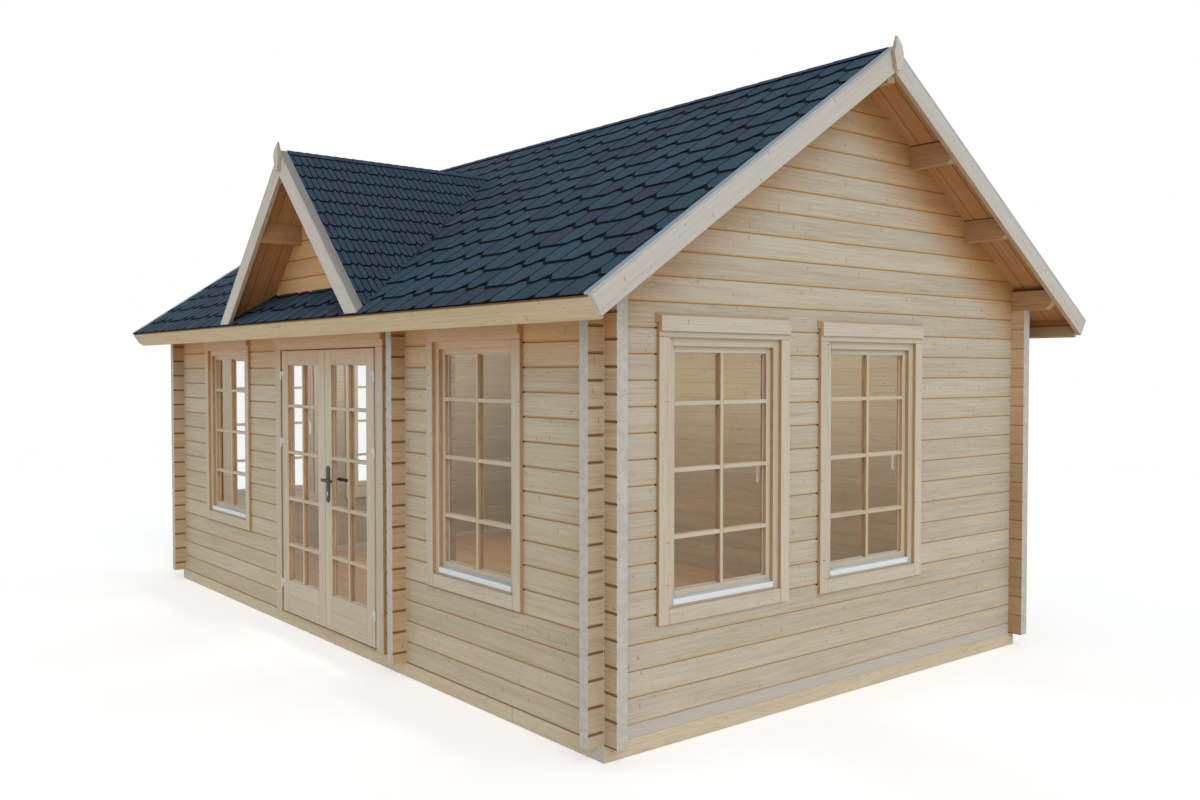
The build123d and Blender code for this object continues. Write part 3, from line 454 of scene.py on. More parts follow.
# Painted reflection: the main roof's edge strips are painted blue-grey for the sky they reflect, the same
# strips on the dormer grey in shade
RAKE_CAP = board_material(
    "rake_strip_wood", (0.27, 0.36, 0.44), (0.22, 0.30, 0.37), STRIP_EDGE, (0.12, 0.14, 0.16), 0.3)
DORMER_CAP = board_material(
    "dormer_strip_wood", (0.33, 0.32, 0.30), (0.22, 0.21, 0.185), STRIP_EDGE, (0.10, 0.09, 0.08), 0.8)
SHINGLE, GLASS, FLOOR = shingle_material(), glass_material(), floor_material()
SPACER = metal_material("spacer_bars", (0.55, 0.55, 0.53), (0.44, 0.44, 0.42), 0.40, 0.0)
SILL = metal_material("sill_metal", (0.78, 0.815, 0.85), (0.745, 0.78, 0.815), 0.36, 0.0, (0.50, 0.60, 0.68))
HINGE = metal_material("hinge_metal", (0.68, 0.68, 0.66), (0.52, 0.52, 0.50), 0.40, 0.3)
LOCK = metal_material("lock_metal", (0.78, 0.79, 0.80), (0.60, 0.62, 0.64), 0.28, 0.5)
DARK = metal_material("handle_metal", (0.020, 0.034, 0.046), (0.034, 0.050, 0.062), 0.36, 0.1)
WHITE = metal_material("window_handle_white", (0.90, 0.90, 0.885), (0.84, 0.835, 0.81), 0.25, 0.0)


# Mesh helpers

dice = random.Random(7)


def new_mesh():
    """An empty mesh with the three attributes that the board materials read."""
    mesh = bmesh.new()
    layers(mesh)
    return mesh


def new_piece(name, mesh_builder, material, body="cabin", replaced=(), smooth=False):
    """Turns a bmesh into a piece on a body."""
    mesh = bpy.data.meshes.new(name)
    mesh_builder.to_mesh(mesh)
    mesh_builder.free()
    mesh.materials.append(material)
    piece = bpy.data.objects.new(name, mesh)
    bpy.context.scene.collection.objects.link(piece)
    for polygon in mesh.polygons:
        polygon.use_smooth = smooth
    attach(piece, body)
    if replaced:
        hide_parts(*replaced)
    return piece


def layers(mesh):
    """Grain and tone of each corner, and side of each face."""
    verts, faces = mesh.verts.layers, mesh.faces.layers
    grain_layer = verts.float_vector.get("grain") or verts.float_vector.new("grain")
    tone_layer = verts.float.get("tone") or verts.float.new("tone")
    side_layer = faces.float.get("side") or faces.float.new("side")
    return grain_layer, tone_layer, side_layer


def soften(mesh, verts, width):
    """Takes the sharpness off a board's edges."""
    edges = {e for v in verts for e in v.link_edges}
    edges = [e for e in edges if len(e.link_faces) == 2 and e.calc_face_angle(0.0) > 0.5]
    if edges:
        bmesh.ops.bevel(mesh, geom=edges, offset=width, segments=1, affect="EDGES", clamp_overlap=True)


FACE, TOP_SIDE, NARROW_SIDE, END_SIDE = 0.0, 0.30, 0.5, 1.0


def paint_board(mesh, verts, faces, along):
    """Writes grain, tone and side on one board, given the direction of its grain."""
    grain_layer, tone_layer, side_layer = layers(mesh)
    along = along.normalized()
    helper = Vector((0, 0, 1)) if abs(along.z) < 0.8 else Vector((0, 1, 0))
    first = along.cross(helper).normalized()
    second = along.cross(first).normalized()
    spans = []
    for direction in (first, second):
        reach = [v.co.dot(direction) for v in verts]
        spans.append(max(reach) - min(reach))
    thin = first if spans[0] <= spans[1] else second
    wide = along.cross(thin)
    shift = Vector((dice.uniform(-40, 40), dice.uniform(-3, 3), dice.uniform(-3, 3)))
    tone = dice.random()
    for v in verts:
        v[grain_layer] = Vector((v.co.dot(along), v.co.dot(wide), v.co.dot(thin))) + shift
        v[tone_layer] = tone
    for f in faces:
        f.normal_update()
        if abs(f.normal.dot(along)) > 0.6:
            f[side_layer] = END_SIDE
        elif abs(f.normal.dot(wide)) > 0.6:
            f[side_layer] = NARROW_SIDE if f.normal.z < 0.5 else TOP_SIDE
        else:
            f[side_layer] = FACE


def islands(mesh):
    """The loose parts of a mesh, as lists of vertices."""
    left = set(mesh.verts)
    found = []
    for start in list(mesh.verts):
        if start not in left:
            continue
        stack, island = [start], []
        left.discard(start)
        while stack:
            vert = stack.pop()
            island.append(vert)
            for edge in vert.link_edges:
                other = edge.other_vert(vert)
                if other in left:
                    left.discard(other)
                    stack.append(other)
        found.append(island)
    return found


def dress(node, material, width=0.002, axis=None, sides=True):
    """The boards of a CAD node again, with softened edges and a grain of their own."""
    mesh = bmesh.new()
    mesh.from_mesh(nodes[node].data)
    layers(mesh)
    bmesh.ops.remove_doubles(mesh, verts=mesh.verts, dist=1e-5)
    bmesh.ops.dissolve_limit(mesh, angle_limit=0.01, verts=mesh.verts, edges=mesh.edges)
    soften(mesh, list(mesh.verts), width)
    for island in islands(mesh):
        if axis:
            along = Vector(axis)
        else:
            # Always the same one of the longest edges, so that every run gives the same grain
            edges = [e for v in island for e in v.link_edges]
            longest = max(edges, key=lambda e: round(e.calc_length(), 5))
            along = longest.verts[0].co - longest.verts[1].co
            if along.dot(Vector((0.9, 0.7, 0.5))) < 0.0:
                along = -along
        faces = {f for v in island for f in v.link_faces}
        paint_board(mesh, island, faces, along)
        if not sides:
            side_layer = layers(mesh)[2]
            for f in faces:
                if f[side_layer] == NARROW_SIDE:
                    f[side_layer] = FACE
    new_piece("dressed_" + node, mesh, material, replaced=(node,))


def add_hexa(mesh, start, end, width, along=None):
    """A board between two four-cornered ends."""
    before = set(mesh.verts)
    verts = [mesh.verts.new(corner) for corner in (*start, *end)]
    for quad in ((3, 2, 1, 0), (4, 5, 6, 7), (0, 1, 5, 4), (1, 2, 6, 5), (2, 3, 7, 6), (3, 0, 4, 7)):
        mesh.faces.new([verts[i] for i in quad])
    bmesh.ops.recalc_face_normals(mesh, faces=list({f for v in verts for f in v.link_faces}))
    if along is None:
        middle = [sum((Vector(c) for c in ring), Vector()) / 4 for ring in (start, end)]
        along = middle[1] - middle[0]
    if width:
        soften(mesh, verts, width)
    verts = [v for v in mesh.verts if v not in before]
    paint_board(mesh, verts, {f for v in verts for f in v.link_faces}, along)


def add_box(mesh, low, high, along, transform, width=0.0015):
    """A board given by two corners in a wall's own frame, with its grain along one of its axes."""
    axis = "xyz".index(along)
    p, q = [index for index in range(3) if index != axis]
    rings = []
    for near in (low, high):
        rings.append([])
        for a, b in ((low, low), (high, low), (high, high), (low, high)):
            corner = Vector(near)
            corner[p], corner[q] = a[p], b[q]
            rings[-1].append(transform @ corner)
    direction = Vector([float(index == axis) for index in range(3)])
    add_hexa(mesh, *rings, width, transform.to_3x3() @ direction)


def wall_frame(place, wall):
    """From a window's or the door's own frame, with Y into the room, to the cabin's."""
    if wall == "front":
        return Matrix.Translation((place, -HALF_WIDTH, BASE))
    side = 1 if wall == "right" else -1
    turn = Matrix.Rotation(math.radians(90 * side), 4, "Z")
    return Matrix.Translation((side * HALF_LENGTH, place, BASE)) @ turn


# Walls and floor keep their CAD shape

for material, names in (
    (LOGS_X, ("front_wall_left", "front_wall_right", "front_wall_over_door", "back_wall")),
    (LOGS_X, ("dormer_gable_wall",)),
    (LOGS_Y, ("left_gable_wall", "right_gable_wall", "cross_wall")),
    (FLOOR, ("floor_boards",)),
):
    for name in names:
        nodes[name].data.materials.clear()
        nodes[name].data.materials.append(material)

# Beams and boards
for name, axis in (("foundation_side_beams", (0, 1, 0)), ("foundation_long_beams", (1, 0, 0))):
    dress(name, BASE_WOOD, 0.003, axis, sides=False)
for name in ("wall_plates", "ridge_beam", "purlins"):
    dress(name, BEAM, axis=(1, 0, 0), sides=False)
dress("dormer_beams", BEAM, axis=(0, 1, 0), sides=False)
dress("fascia_boards", FASCIA)
dress("eave_battens", SOFFIT, 0.0015)
for name in ("right_bargeboards", "left_bargeboards", "dormer_bargeboards"):
    dress(name, PALE_BOARD)
dress("finials", PALE_BOARD, axis=(0, 0, 1))
for name, width in (
    ("window_trims", 0.0012), ("inner_window_trims", 0.0012), ("head_boards", 0.0015), ("door_trims", 0.0012),
):
    dress(name, TRIM, width)
dress("window_sills", SILL, 0.0004)


# Roof boards

ROOF_BOARD, BOARD_JOINT = 0.115, 0.0008
DORMER_BOARD, SHORTEST_BOARD = 0.1142, 0.06


def roof_place(side, across, run, rise):
    """A point on a main slope, by X, run down from the ridge and rise off the top face."""
    y = side * (run * math.cos(PITCH) + rise * math.sin(PITCH))
    return Vector((across, y, RIDGE - run * math.sin(PITCH) + rise * math.cos(PITCH)))


def dormer_place(side, across, run, rise):
    """The same on a dormer slope, by Y."""
    x = side * (run * math.cos(DORMER_PITCH) + rise * math.sin(DORMER_PITCH))
    return Vector((x, across, DORMER_RIDGE - run * math.sin(DORMER_PITCH) + rise * math.cos(DORMER_PITCH)))


def slab_end(to_place, side, across, runs, rises):
    """Four corners at one end of a slab on a slope: along its top face, then back along its bottom."""
    places = (across[0], across[1], across[1], across[0])
    heights = (rises[0], rises[0], rises[1], rises[1])
    return [to_place(side, *corner) for corner in zip(places, runs, heights)]


def dormer_run_end(y, rise, over):
    """How far down a dormer slope meets the main front slope, at one Y, over a rise of the main roof."""
    plane = RIDGE + y * math.tan(PITCH) + over / math.cos(PITCH)
    top = DORMER_RIDGE + rise * math.cos(DORMER_PITCH)
    return (top - plane) / math.sin(DORMER_PITCH)


def dormer_ends(y0, y1, rises, over):
    """The same for the four corners of a slab's low end."""
    corners = zip((y0, y1, y1, y0), (rises[0], rises[0], rises[1], rises[1]))
    return [dormer_run_end(y, rise, over) for y, rise in corners]


UNDER = (-STRIP, -ROOF_BUILD)


def roof_boards(side, node):
    """Boards down one main slope, seen from below."""
    mesh = new_mesh()
    count = round(2 * BOARD_END / ROOF_BOARD)
    step = 2 * BOARD_END / count
    top, low = (-rise * math.tan(PITCH) for rise in UNDER)
    end = ROOF_RUN - 0.005
    for number in range(count):
        x0 = -BOARD_END + number * step + BOARD_JOINT / 2
        across = (x0, x0 + step - BOARD_JOINT)
        ring = slab_end(roof_place, side, across, (top, top, low, low), UNDER)
        add_hexa(mesh, ring, slab_end(roof_place, side, across, (end,) * 4, UNDER), 0.0022)
    new_piece("boards_" + node, mesh, SOFFIT, replaced=(node,))


def dormer_boards():
    """The same on both dormer slopes, each board as long as its place leaves it."""
    mesh = new_mesh()
    for side in (-1, 1):
        y0 = DORMER_FRONT + 0.030
        while True:
            y1 = y0 + DORMER_BOARD
            low = dormer_ends(y0, y1, UNDER, -0.010)
            if min(low) < SHORTEST_BOARD:
                break
            start = slab_end(dormer_place, side, (y0, y1), (STRIP, STRIP, ROOF_BUILD, ROOF_BUILD), UNDER)
            end = slab_end(dormer_place, side, (y0, y1), low, UNDER)
            add_hexa(mesh, start, end, 0.0018, along=end[0] - start[0])
            y0 = y1 + BOARD_JOINT
    new_piece("boards_dormer", mesh, SOFFIT, replaced=("dormer_roof_boards",))


roof_boards(-1, "front_roof_boards")
roof_boards(1, "back_roof_boards")
dormer_boards()


# Shingles

RIDE = -0.0025
TAB_THICKNESS, BAND_DROP = 0.0040, 0.0042
MAIN_FELT, DORMER_FELT = (-0.0115, -0.0138), (-0.0105, -0.0136)
SHINGLE_EAVE = ROOF_RUN + 0.006
DORMER_BACK = 1.0
SEAM_RISE, SEAM_OVER = -0.006, -0.008
# How many courses, their step and start, two shifts, tab width, its cut, joint, dark band, rise, least tone
Courses = namedtuple("Courses", "count step first shifts tab cut joint band depth darkest")
MAIN_COURSES = Courses(13, 0.210, 0.234, (0.218, 0.508), 0.19333, (0.065, 0.066), 0.0125, 0.019, 0.0068, 0.0)
DORMER_COURSES = Courses(
    16, 0.131, 0.1505, (-1.939, -1.866), 0.0485, (0.017, 0.025), 0.0065, 0.012, 0.0055, 0.45)


def clip(points, normal, limit):
    """Keeps the part of a flat convex outline where normal . point <= limit."""
    kept = []
    for index, here in enumerate(points):
        after = points[(index + 1) % len(points)]
        a = here[0] * normal[0] + here[1] * normal[1] - limit
        b = after[0] * normal[0] + after[1] * normal[1] - limit
        if a <= 0:
            kept.append(here)
        if (a < 0 < b) or (b < 0 < a):
            share = a / (a - b)
            kept.append((here[0] + share * (after[0] - here[0]), here[1] + share * (after[1] - here[1])))
    return kept


def band_faces(mesh, upper, lower):
    """Faces between two rings of the same count."""
    pairs = list(zip(upper, lower))
    return [mesh.faces.new([a, b, d, c]) for (a, b), (c, d) in zip(pairs, pairs[1:] + pairs[:1])]


def add_tab(mesh, outline, to_place, top_rise, darkest):
    """One tab: its outline in (across, run), laid on the slope."""
    _, tone_layer, side_layer = layers(mesh)
    tone = darkest + (1.0 - darkest) * dice.random()
    upper = [mesh.verts.new(to_place(a, s, top_rise(s))) for a, s in outline]
    lower = [mesh.verts.new(to_place(a, s, top_rise(s) - TAB_THICKNESS)) for a, s in outline]
    for v in upper + lower:
        v[tone_layer] = tone
    mesh.faces.new(upper)
    for face in band_faces(mesh, upper, lower):
        face[side_layer] = END_SIDE


def tab_outline(a0, a1, s0, s1, cut_along, cut_up, left, right):
    """A tab's outline, with its lower corners cut where asked."""
    points = [(a0, s0), (a1, s0)]
    points += [(a1, s1 - cut_up), (a1 - cut_along, s1)] if right else [(a1, s1)]
    points += [(a0 + cut_along, s1), (a0, s1 - cut_up)] if left else [(a0, s1)]
    return points


def course_tabs(first_single, tab, low, high):
    """Tabs of one course: from, to, and whether the left and right corners are cut."""
    period = 3 * tab
    number = math.floor((low - first_single) / period) - 1
    while first_single + number * period - tab / 2 < high:
        start = first_single + number * period - tab / 2
        yield start, start + tab, True, True
        yield start + tab, start + 2 * tab, True, False
        yield start + 2 * tab, start + 3 * tab, False, True
        number += 1


def add_shade(mesh, outline, to_place, top_rise):
    """The dark band of the strip behind a tab, which shows below its cut edges and in the joints: painted
    shadow, partly the real dark band of laminated shingles.
    """
    face = mesh.faces.new([mesh.verts.new(to_place(a, s, top_rise(s))) for a, s in outline])
    face[layers(mesh)[2]] = END_SIDE


def add_sheet(mesh, outline, to_place, rises):
    """A dark sheet under the tabs: the felt, its near black partly painted shade where it shows in the gaps.
    """
    upper, lower = ([mesh.verts.new(to_place(a, s, rise)) for a, s in outline] for rise in rises)
    faces = [mesh.faces.new(upper), mesh.faces.new(lower[::-1])]
    for face in faces + band_faces(mesh, upper, lower):
        face[layers(mesh)[2]] = END_SIDE


def lay_courses(mesh, to_place, clips, kind, low, high):
    """Courses of tabs with the shaded band behind each. Clips are half-planes that bound the slope."""
    def bounded(*sizes):
        outline = tab_outline(*sizes)
        for normal, limit in clips:
            outline = clip(outline, normal, limit)
        return outline

    fall = kind.depth / kind.step
    half_joint = kind.joint / 2
    for number in range(kind.count):
        bottom = kind.first + kind.step * number
        top = max(bottom - 1.1 * kind.step, 0.0)
        rise = lambda s: RIDE - fall * (bottom - s)
        under = lambda s: RIDE - BAND_DROP - fall * max(bottom - s, 0.0) * 0.5
        for a0, a1, *corners in course_tabs(kind.shifts[number % 2], kind.tab, low, high):
            outline = bounded(a0 + half_joint, a1 - half_joint, top, bottom, *kind.cut, *corners)
            if len(outline) >= 3:
                add_tab(mesh, outline, to_place, rise, kind.darkest)
            outline = bounded(a0, a1, top + kind.band, bottom + kind.band, *kind.cut, *corners)
            if len(outline) >= 3:
                add_shade(mesh, outline, to_place, under)


def main_shingles(side, node):
    """Tabs and felt on one main slope."""
    mesh = new_mesh()
    end, edge = SHINGLE_EAVE, SHINGLE_END
    to_place = lambda a, s, r: roof_place(side, a, s, r)
    clips = [((1, 0), edge), ((-1, 0), edge), ((0, 1), end)]
    lay_courses(mesh, to_place, clips, MAIN_COURSES, -edge, edge)
    # The felt below, left open under the dormer
    if side > 0:
        quads = [[(-edge, 0.0), (edge, 0.0), (edge, end), (-edge, end)]]
    else:
        soffit = DORMER_RIDGE - ROOF_BUILD / math.cos(DORMER_PITCH)
        s_peak = (RIDGE - soffit) / math.sin(PITCH)
        s_foot = HALF_WIDTH / math.cos(PITCH)
        x_foot = soffit - roof_place(side, 0, s_foot, -0.013).z
        quads = [
            [(-edge, 0.0), (edge, 0.0), (edge, s_peak), (-edge, s_peak)],
            [(-edge, s_peak), (0.0, s_peak), (-x_foot, s_foot), (-edge, s_foot)],
            [(0.0, s_peak), (edge, s_peak), (edge, s_foot), (x_foot, s_foot)],
            [(-edge, s_foot), (edge, s_foot), (edge, end), (-edge, end)],
        ]
    for quad in quads:
        add_sheet(mesh, quad, to_place, MAIN_FELT)
    if side < 0:
        open_dormer(mesh)
    bmesh.ops.recalc_face_normals(mesh, faces=mesh.faces)
    new_piece("tabs_" + node, mesh, SHINGLE, replaced=(node,))


def open_dormer(mesh):
    """Takes away what would hang inside the dormer, where the main slope is open."""
    peak = DORMER_RIDGE - ROOF_BUILD / math.cos(DORMER_PITCH) - 0.02
    inside = lambda co: co.z < peak - abs(co.x) and co.y > -HALF_WIDTH + 0.002
    doomed = [f for f in mesh.faces if all(inside(v.co) for v in f.verts)]
    bmesh.ops.delete(mesh, geom=doomed, context="FACES")


def dormer_shingles():
    """Tabs and felt on both dormer slopes."""
    mesh = new_mesh()
    front = SHINGLE_FRONT
    # Where the slope meets the main roof, the run is linear in Y
    base_run = dormer_run_end(0.0, SEAM_RISE, SEAM_OVER)
    slant = dormer_run_end(1.0, SEAM_RISE, SEAM_OVER) - base_run
    clips = [((-1, 0), -front), ((-slant, 1), base_run)]
    for side in (-1, 1):
        to_place = lambda a, s, r: dormer_place(side, a, s, r)
        lay_courses(mesh, to_place, clips, DORMER_COURSES, front, DORMER_BACK)
        felt = [(front, 0.0), (-base_run / slant, 0.0), (front, base_run + slant * front)]
        add_sheet(mesh, felt, to_place, DORMER_FELT)
    bmesh.ops.recalc_face_normals(mesh, faces=mesh.faces)
    new_piece("tabs_dormer", mesh, SHINGLE, replaced=("dormer_shingles",))


CAP_LIFT, CAP_THICKNESS, CAP_FOLD = (0.0030, 0.0005), 0.0035, 0.8
MAIN_CAPS, MAIN_CAP_REACH, MAIN_CAP_LAP = 34, 0.055, 0.020
DORMER_CAPS, DORMER_CAP_REACH, DORMER_CAP_LAP = 24, 0.040, 0.012


def ridge_caps():
    """Folded pieces over both ridges."""
    mesh = new_mesh()
    _, tone_layer, side_layer = layers(mesh)

    def cap(place, a0, a1, reach):
        tone = dice.random()
        rings = []
        for a, lift in zip((a0, a1), CAP_LIFT):
            low = lift - CAP_THICKNESS
            ring = []
            for side, run, rise in (
                (-1, reach, lift), (-1, None, lift), (1, reach, lift),
                (1, reach, low), (1, None, low), (-1, reach, low),
            ):
                ring.append(mesh.verts.new(place(side, a, -rise * CAP_FOLD if run is None else run, rise)))
            rings.append(ring)
        for v in rings[0] + rings[1]:
            v[tone_layer] = tone
        for index, face in enumerate(band_faces(mesh, *rings)):
            face[side_layer] = FACE if index in (0, 1) else END_SIDE
        for ring in rings:
            for part in ((0, 1, 4, 5), (1, 2, 3, 4)):
                face = mesh.faces.new([ring[i] for i in part])
                face[side_layer] = END_SIDE

    step = 2 * SHINGLE_END / MAIN_CAPS
    for number in range(MAIN_CAPS):
        a0 = -SHINGLE_END + number * step
        cap(roof_place, a0, a0 + step + MAIN_CAP_LAP * (number < MAIN_CAPS - 1), MAIN_CAP_REACH)
    back = -dormer_run_end(0.0, 0, 0.0) / (dormer_run_end(1.0, 0, 0.0) - dormer_run_end(0.0, 0, 0.0))
    step = (back - SHINGLE_FRONT) / DORMER_CAPS
    for number in range(DORMER_CAPS):
        a0 = SHINGLE_FRONT + number * step
        cap(dormer_place, a0, a0 + step + DORMER_CAP_LAP, DORMER_CAP_REACH)
    bmesh.ops.recalc_face_normals(mesh, faces=mesh.faces)
    new_piece("ridge_caps", mesh, SHINGLE)


def edge_strips():
    """The strips beside the shingles: four on the main roof, two on the dormer."""
    main, small = new_mesh(), new_mesh()
    rises = (RAKE_TOP, -STRIP)
    top, low = (-rise * math.tan(PITCH) for rise in rises)
    for side in (-1, 1):
        for end in (-1, 1):
            across = sorted((end * (ROOF_END - RAKE_STRIP), end * ROOF_END))
            ring = slab_end(roof_place, side, across, (top, top, low, low), rises)
            add_hexa(main, ring, slab_end(roof_place, side, across, (ROOF_RUN,) * 4, rises), 0.0006)
        across = (DORMER_FRONT, DORMER_FRONT + DORMER_STRIP)
        first = slab_end(dormer_place, side, across, (-RAKE_TOP, -RAKE_TOP, STRIP, STRIP), rises)
        last = slab_end(dormer_place, side, across, dormer_ends(*across, rises, -0.001), rises)
        add_hexa(small, first, last, 0.0006, along=last[0] - first[0])
    new_piece("rake_strips", main, RAKE_CAP, replaced=("cover_strips",))
    new_piece("dormer_strips", small, DORMER_CAP, replaced=("cover_strips",))


edge_strips()
main_shingles(-1, "front_shingles")
main_shingles(1, "back_shingles")
dormer_shingles()
ridge_caps()


# Windows

SASH_HALF, SASH_LOW, SASH_TOP, SASH_RAIL = 0.3985, 0.667, 2.013, 0.045
SASH_FRONT, SASH_BACK = 0.024, 0.067
LAP, PLAY, FRAME_WIDTH, SILL_ROOM = 0.012, 0.003, 0.069, 0.036
PANE_FRONT, PANE_BACK = 0.044, 0.052
BAR, BAR_STEP, BAR_SHIFT, BAR_TENON, BAR_INSET = 0.012, 0.3525, 0.007, 0.002, 0.0008
SPACER_BAR, SPACER_INSET = 0.006, 0.0015


def framed(mesh, x0, x1, low, high, stiles, rails, depth, transform, width=0.0012):
    """Stiles of full height and two rails between them. Rails are the heights of the bottom and top one."""
    y0, y1 = depth
    add_box(mesh, (x0, y0, low), (x0 + stiles, y1, high), "z", transform, width)
    add_box(mesh, (x1 - stiles, y0, low), (x1, y1, high), "z", transform, width)
    add_box(mesh, (x0 + stiles, y0, high - rails[1]), (x1 - stiles, y1, high), "x", transform, width)
    add_box(mesh, (x0 + stiles, y0, low), (x1 - stiles, y1, low + rails[0]), "x", transform, width)


def add_bars(mesh, x0, x1, low, high, heights, depths, transform):
    """An upright bar in the middle of an opening and cross bars at some heights, on both sides of a pane."""
    middle = (x0 + x1) / 2
    bottom, top = low - BAR_TENON, high + BAR_TENON
    for y0, y1 in depths:
        add_box(mesh, (middle - BAR, y0, bottom), (middle + BAR, y1, top), "z", transform)
        for height in heights:
            for a, b in ((x0 - BAR_TENON, middle - BAR), (middle + BAR, x1 + BAR_TENON)):
                add_box(mesh, (a, y0, height - BAR), (b, y1, height + BAR), "x", transform)


def windows():
    """Frames, sashes with their bars, panes and spacer bars of all six windows."""
    frames, sashes, panes, spacers = (new_mesh() for _ in range(4))
    lip = SASH_HALF - LAP
    outer = lip + FRAME_WIDTH
    around = (-outer, outer, SASH_LOW + LAP - FRAME_WIDTH, SASH_TOP - LAP + FRAME_WIDTH)
    half, low, high = SASH_HALF - SASH_RAIL, SASH_LOW + SASH_RAIL, SASH_TOP - SASH_RAIL
    heights = [(low + high) / 2 + BAR_SHIFT + step * BAR_STEP for step in (-1, 0, 1)]
    depths = ((SASH_FRONT + BAR_INSET, PANE_FRONT), (PANE_BACK, SASH_BACK - BAR_INSET))
    rebate = FRAME_WIDTH - LAP - PLAY
    for place, wall in WINDOWS:
        to_wall = wall_frame(place, wall)
        # The frame: a lip in front of the sash, and the part beside it
        framed(frames, *around, FRAME_WIDTH, (FRAME_WIDTH - SILL_ROOM, FRAME_WIDTH), (0, SASH_FRONT), to_wall)
        framed(frames, *around, rebate, (rebate, rebate), (SASH_FRONT, WALL), to_wall)
        framed(sashes, -SASH_HALF, SASH_HALF, SASH_LOW, SASH_TOP, SASH_RAIL, (SASH_RAIL, SASH_RAIL),
               (SASH_FRONT, SASH_BACK), to_wall)
        add_bars(sashes, -half, half, low, high, heights, depths, to_wall)
        add_box(panes, (-half, PANE_FRONT, low), (half, PANE_BACK, high), "z", to_wall, 0.0)
        framed(spacers, -half, half, low, high, SPACER_BAR, (SPACER_BAR, SPACER_BAR),
               (PANE_FRONT + SPACER_INSET, PANE_BACK - SPACER_INSET), to_wall, 0.0)
    new_piece("window_frame_boards", frames, JOINERY, replaced=("window_frames",))
    new_piece("window_sash_boards", sashes, JOINERY, replaced=("window_sashes",))
    new_piece("window_panes", panes, GLASS, replaced=("window_glass",))
    new_piece("window_spacers", spacers, SPACER)


windows()


# Door

LEAF_INNER, LEAF_EDGE, LEAF_LOW, LEAF_TOP = 0.004, 0.752, 0.016, 2.022
STILE, TOP_RAIL, BOTTOM_RAIL, RAIL_JOINT = 0.108, 0.110, 0.249, 0.134
LEAF_FRONT, LEAF_BACK = -0.020, 0.025
LEAF_PANE = (-0.0015, 0.0065)
FIRST_BAR, LEAF_BAR_STEP = 0.275, 0.3543
DOOR_HALF, DOOR_TOP, JAMB, STOP = 0.807, 2.077, 0.050, 0.025
STOP_FRONT = LEAF_BACK + 0.006
THRESHOLD_FRONT, THRESHOLD_BACK = 0.008, 0.020
DOOR = wall_frame(0.0, "front")


def leaf_pieces(side):
    """One leaf: its frame and bars, its pane and its spacer bars."""
    body = "right_leaf" if side > 0 else "left_leaf"
    turn = DOOR @ Matrix.Scale(side, 4, (1, 0, 0))
    leaf, pane, spacer = (new_mesh() for _ in range(3))
    x0, x1 = LEAF_INNER + STILE, LEAF_EDGE - STILE
    low, high = LEAF_LOW + BOTTOM_RAIL, LEAF_TOP - TOP_RAIL
    framed(leaf, LEAF_INNER, LEAF_EDGE, LEAF_LOW, LEAF_TOP, STILE, (RAIL_JOINT, TOP_RAIL),
           (LEAF_FRONT, LEAF_BACK), turn, 0.0015)
    add_box(leaf, (x0, LEAF_FRONT, LEAF_LOW + RAIL_JOINT), (x1, LEAF_BACK, low), "x", turn)
    heights = [low + FIRST_BAR + LEAF_BAR_STEP * number for number in range(4)]
    depths = ((LEAF_FRONT + BAR_INSET, LEAF_PANE[0]), (LEAF_PANE[1], LEAF_BACK - BAR_INSET))
    add_bars(leaf, x0, x1, low, high, heights, depths, turn)
    add_box(pane, (x0, LEAF_PANE[0], low), (x1, LEAF_PANE[1], high), "z", turn, 0.0)
    s0, s1 = LEAF_PANE[0] + SPACER_INSET, LEAF_PANE[1] - SPACER_INSET
    for z0, z1 in ((low, low + SPACER_BAR), (high - SPACER_BAR, high)):
        add_box(spacer, (x0, s0, z0), (x1, s1, z1), "x", turn, 0.0)
    for a0, a1 in ((x0, x0 + SPACER_BAR), (x1 - SPACER_BAR, x1)):
        add_box(spacer, (a0, s0, low), (a1, s1, high), "z", turn, 0.0)
    for mesh in (leaf, pane, spacer):
        bmesh.ops.recalc_face_normals(mesh, faces=mesh.faces)
    # The leaf's own edges are as pale as its faces
    side_layer = layers(leaf)[2]
    for face in leaf.faces:
        if not LEAF_INNER + 0.001 < side * face.calc_center_median().x < LEAF_EDGE - 0.001:
            face[side_layer] = FACE
    new_piece(body + "_boards", leaf, JOINERY, body, (body,))
    new_piece(body + "_panes", pane, GLASS, body, (body + "_glass",))
    new_piece(body + "_spacers", spacer, SPACER, body)


def door_frame():
    """Jambs, head and threshold, each with the stop behind the leaves."""
    mesh = new_mesh()
    face, head = DOOR_HALF - JAMB, DOOR_TOP - JAMB
    inner = face - STOP
    boxes = []
    for side in (-1, 1):
        for reach, y0, y1 in ((face, 0, STOP_FRONT), (inner, STOP_FRONT, WALL)):
            a, b = sorted((side * reach, side * DOOR_HALF))
            boxes.append(((a, y0, 0), (b, y1, DOOR_TOP), "z", 0.0012))
    boxes += [
        ((-face, 0, head), (face, STOP_FRONT, DOOR_TOP), "x", 0.0012),
        ((-inner, STOP_FRONT, head - STOP), (inner, WALL, DOOR_TOP), "x", 0.0012),
        ((-face, LEAF_FRONT, 0), (face, STOP_FRONT, THRESHOLD_FRONT), "x", 0.001),
        ((-inner, STOP_FRONT, 0), (inner, WALL, THRESHOLD_BACK), "x", 0.001),
    ]
    for low, high, along, width in boxes:
        add_box(mesh, low, high, along, DOOR, width)
    new_piece("door_frame_boards", mesh, JOINERY, replaced=("door_frame",))


door_frame()
leaf_pieces(-1)
leaf_pieces(1)


# Fittings

